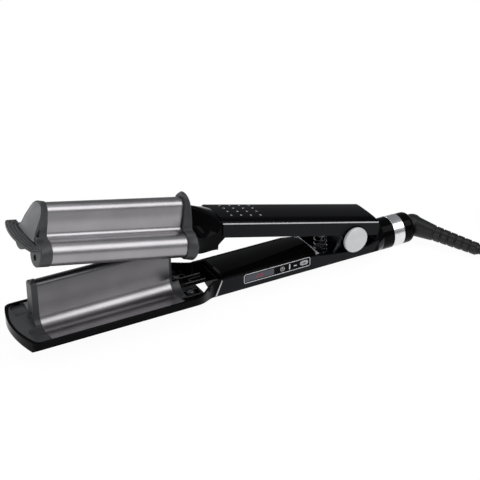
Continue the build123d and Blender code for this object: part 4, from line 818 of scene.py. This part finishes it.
def stroke(wide, tall):
    """Outline of a small bar with cut corners, from its half width and half height."""
    cut = 0.3 * min(wide, tall)
    return [(-wide + cut, -tall), (wide - cut, -tall), (wide, -tall + cut), (wide, tall - cut),
            (wide - cut, tall), (-wide + cut, tall), (-wide, tall - cut), (-wide, -tall + cut)]


def mark(name, node, body, slot, material, outlines):
    """Flat mark printed on the outer face of a node; outlines are in mm from the face's middle."""
    low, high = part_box(node)
    middle = ((low[0] + high[0]) / 2, (low[2] + high[2]) / 2)
    points = []
    faces = []
    for outline in outlines:
        count = len(outline)
        first = len(points)
        for proud in (-MARK_SINK, MARK_PROUD):
            points += [Vector((middle[0] + MM * across, low[1] - MM * proud, middle[1] + MM * up))
                       for across, up in outline]
        faces += prism(first, count)
    made = piece(name, body, slot, points, faces)
    repaint(made, material)


def moved(outline, across, up):
    """The same outline in another place."""
    return [(x + across, y + up) for x, y in outline]


def loop(outline, width):
    """Closed line inside an outline, as one strip for each side; width is its share of the outline."""
    strips = []
    for index, start in enumerate(outline):
        end = outline[(index + 1) % len(outline)]
        inner = [(x * (1 - width), y * (1 - width)) for x, y in (end, start)]
        strips.append([start, end, *inner])
    return strips


def digits(text, size):
    """Seven-stroke digits, centred."""
    strokes = []
    for index, digit in enumerate(text):
        centre = (index - (len(text) - 1) / 2) * DIGIT_PITCH * size
        for letter in DIGITS[digit]:
            across, up, flat = SEGMENTS[letter]
            half = (STROKE_LONG, STROKE_WIDE) if flat else (STROKE_WIDE, STROKE_LONG)
            bar = stroke(half[0] * size, half[1] * size)
            strokes.append(moved(bar, centre + across * size, up * size))
    return strokes


def control_marks():
    """Temperature on the display and a plain sign on each key."""
    mark("display_digits", "display_window", "lower_arm", "display_glass", MARK_RED,
         digits("200", DIGIT_SIZE))
    mark("mode_sign", "mode_button", "mode_key", "button_grey", MARK_WHITE,
         loop(HEXAGON, 0.2) + [stroke(0.7, 0.35), moved(stroke(0.35, 0.5), -0.5, 0.3)])
    mark("temperature_sign", "temperature_button", "temperature_key", "button_grey", MARK_WHITE,
         [stroke(1.3, 0.45)])
    mark("power_sign", "power_button", "power_key", "gloss_black", MARK_DARK,
         [stroke(1.7, 0.30), stroke(0.3, 0.75)])


control_marks()

# ---------------------------------------------------------------- mains lead
# The route from the strain relief to the coil, chosen point by point.
CORD_EXIT = Vector((0.20022, -0.04919, 0.00551))
CORD_ROUTE = (
    (0.20950, -0.0645, 0.0033),
    (0.22600, -0.0736, 0.0033),
    (0.25000, -0.0735, 0.0036),
    (0.27650, -0.07585, 0.0041),
)
COIL_START = 265.0                 # degrees round the coil where the lead meets it
COIL_TURNS = 11.842
COIL_STEPS = 16                    # points in each turn
COIL_ORDER = (0, 1, 2, 2, 1, 0)    # lane of each turn, out to in and back, layer on layer
SHIFT_FROM = 0.845                 # part of a turn after which the cord moves to its next lane
COIL_LAYERS = 4

TAIL_START = 208.0                 # degrees round the coil where the free end leaves it
TAIL_STEP = 24.0
# Height of each point of the free end, from 1 in the top layer to 0 on the floor, and how far outside the
# outer lane it lies.
TAIL_CLIMBS = (1.0, 0.96, 0.72, 0.36, 0.08, 0.0)
TAIL_OUT = (0.0, 0.0024, 0.0056, 0.0072, 0.0072, 0.0072)
TAIL_RUN = 0.017                   # straight piece that enters the plug


def coil_point(turns):
    """Point of the coil after a number of turns."""
    turn = int(turns)
    shift = max(0.0, (turns - turn - SHIFT_FROM) / (1 - SHIFT_FROM))
    ease = shift * shift * (3 - 2 * shift)
    lanes = [COIL_LANES[COIL_ORDER[index % len(COIL_ORDER)]] for index in (turn, turn + 1)]
    layers = [index // len(COIL_LANES) for index in (turn, turn + 1)]
    radius = COIL_MEAN + 2 * CORD_RADIUS * (lanes[0] + (lanes[1] - lanes[0]) * ease)
    height = TIE_THICK + CORD_RADIUS + 2 * CORD_RADIUS * (layers[0] + (layers[1] - layers[0]) * ease)
    angle = radians(COIL_START) + 2 * pi * turns
    return COIL_CENTRE + Vector((radius * cos(angle), radius * sin(angle), height))


def tail_points():
    """Points of the free end, down beside the coil and on to the plug."""
    top = TIE_THICK + COIL_LAYERS * 2 * CORD_RADIUS
    points = []
    for step, (climb, out) in enumerate(zip(TAIL_CLIMBS, TAIL_OUT)):
        angle = radians(TAIL_START + TAIL_STEP * step)
        radius = COIL_MEAN + 2 * CORD_RADIUS + out
        height = CORD_RADIUS + climb * (top - 2 * CORD_RADIUS)
        points.append(COIL_CENTRE + Vector((radius * cos(angle), radius * sin(angle), height)))
    heading = radians(TAIL_START + TAIL_STEP * (len(TAIL_OUT) - 0.5) + 90)
    points.append(points[-1] + TAIL_RUN * Vector((cos(heading), sin(heading), 0)))
    return points


def mains_lead():
    """The lead as one smooth spline: out of the strain relief, round the coil and into the plug."""
    points = [CORD_EXIT, *[Vector(place) for place in CORD_ROUTE]]
    count = int(COIL_TURNS * COIL_STEPS)
    points += [coil_point(COIL_TURNS * step / count) for step in range(1, count)]
    points += tail_points()
    curve = bpy.data.curves.new("mains_lead", "CURVE")
    curve.dimensions = "3D"
    spline = curve.splines.new("NURBS")
    spline.points.add(len(points) - 1)
    for point, place in zip(spline.points, points):
        point.co = (*place, 1)
    spline.order_u = 3
    spline.use_endpoint_u = True
    curve.resolution_u = 4
    curve.bevel_depth = CORD_RADIUS
    curve.bevel_resolution = 4
    curve.use_fill_caps = True
    lead = bpy.data.objects.new("mains_lead", curve)
    bpy.context.collection.objects.link(lead)
    dress(lead, "lead_rubber")
    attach(lead, "lead")
    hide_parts("cord_tube", "cord_coil", "cord_tail")


mains_lead()

# ---------------------------------------------------------------- floor, light and camera
AZIMUTH = radians(29.18)
ELEVATION = radians(28.53)
DISTANCE = 0.9966
LENS = 101.15
SENSOR = 36.0
AIM = Vector((0.01513, 0.00259, 0.03883))
FLOOR_HALF = 6.0
FLOOR_DROP = 0.0001                # keeps the floor just under the part's feet
FLOOR_GLOW = 0.92                  # share of the floor that the camera sees as lit paper
PAPER_LIGHT = 1.04
SURROUND = 0.24                    # brightness of the world
AIM_HEIGHT = 0.03                  # the lights face this height above the origin
SOFTBOXES = (                      # name, direction, distance, width and height, brightness
    ("front_key", (0.43, -0.60, 0.67), 1.6, (1.3, 0.85), 3.0),
    ("overhead", (0.05, 0.10, 1.0), 1.5, (1.4, 0.5), 2.0),
    ("back", (-0.25, 0.85, 0.50), 1.5, (1.2, 0.3), 2.5),
    ("left", (-1.0, -0.35, 0.50), 1.5, (0.7, 0.6), 3.0),
)


def camera():
    """Camera at the height and side of a product shot, looking down the control side."""
    right = Vector((cos(AZIMUTH), -sin(AZIMUTH), 0))
    back = Vector((-sin(AZIMUTH) * cos(ELEVATION), -cos(AZIMUTH) * cos(ELEVATION), sin(ELEVATION)))
    up = back.cross(right)
    data = bpy.data.cameras.new("camera")
    data.lens = LENS
    data.sensor_width = SENSOR
    data.clip_start = 0.01
    made = bpy.data.objects.new("camera", data)
    bpy.context.collection.objects.link(made)
    turn = Matrix((right, up, back)).transposed().to_4x4()
    made.matrix_world = Matrix.Translation(AIM + back * DISTANCE) @ turn
    bpy.context.scene.camera = made


def floor():
    """Plain pale floor. The camera and reflections see most of it as lit paper, so shadows stay soft."""
    mesh = bpy.data.meshes.new("floor")
    corners = [(FLOOR_HALF * x, FLOOR_HALF * y, 0) for x, y in ((-1, -1), (1, -1), (1, 1), (-1, 1))]
    mesh.from_pydata(corners, [], [(0, 1, 2, 3)])
    made = bpy.data.objects.new("floor", mesh)
    bpy.context.collection.objects.link(made)
    made.location.z = -FLOOR_DROP
    shader = Shader("pale_floor")
    cloud = shader.noise(3.0, 2.0)
    shader.color(shader.ramp(cloud, ((0.3, (0.86, 0.86, 0.86)), (0.7, (0.88, 0.88, 0.88)))))
    shader.set(Roughness=0.9, Specular_IOR_Level=0.1)
    rays = shader.node("ShaderNodeLightPath")
    seen = rays.outputs["Is Camera Ray"]
    for kind in ("Is Glossy Ray", "Is Transmission Ray"):
        total = shader.node("ShaderNodeMath", operation="ADD", use_clamp=True)
        shader.link(seen, total.inputs[0])
        shader.link(rays.outputs[kind], total.inputs[1])
        seen = total.outputs["Value"]
    paper = shader.node("ShaderNodeEmission", Strength=PAPER_LIGHT)
    mix = shader.node("ShaderNodeMixShader")
    shader.link(shader.range(seen, 0.0, FLOOR_GLOW), mix.inputs["Fac"])
    shader.link(shader.surface.outputs["BSDF"], mix.inputs[1])
    shader.link(paper.outputs["Emission"], mix.inputs[2])
    shader.link(mix.outputs["Shader"], shader.tree.nodes["Material Output"].inputs["Surface"])
    made.data.materials.append(shader.material)


def softbox(name, toward, distance, size, glow):
    """Rectangular area light in a direction from the object, facing it; glow is its brightness."""
    data = bpy.data.lights.new(name, "AREA")
    data.shape = "RECTANGLE"
    data.size, data.size_y = size
    data.energy = glow * pi * size[0] * size[1]
    made = bpy.data.objects.new(name, data)
    bpy.context.collection.objects.link(made)
    made.location = Vector(toward).normalized() * distance + Vector((0, 0, AIM_HEIGHT))
    made.rotation_euler = (-Vector(toward)).to_track_quat("-Z", "Y").to_euler()


def world():
    """Even, rather dark surround, so that the blacks stay black."""
    made = bpy.data.worlds.new("studio")
    made.use_nodes = True
    background = made.node_tree.nodes["Background"]
    background.inputs["Color"].default_value = (0.94, 0.96, 1.0, 1)
    background.inputs["Strength"].default_value = SURROUND
    bpy.context.scene.world = made


camera()
floor()
world()
for light in SOFTBOXES:
    softbox(*light)
bpy.context.scene.view_settings.view_transform = "Standard"
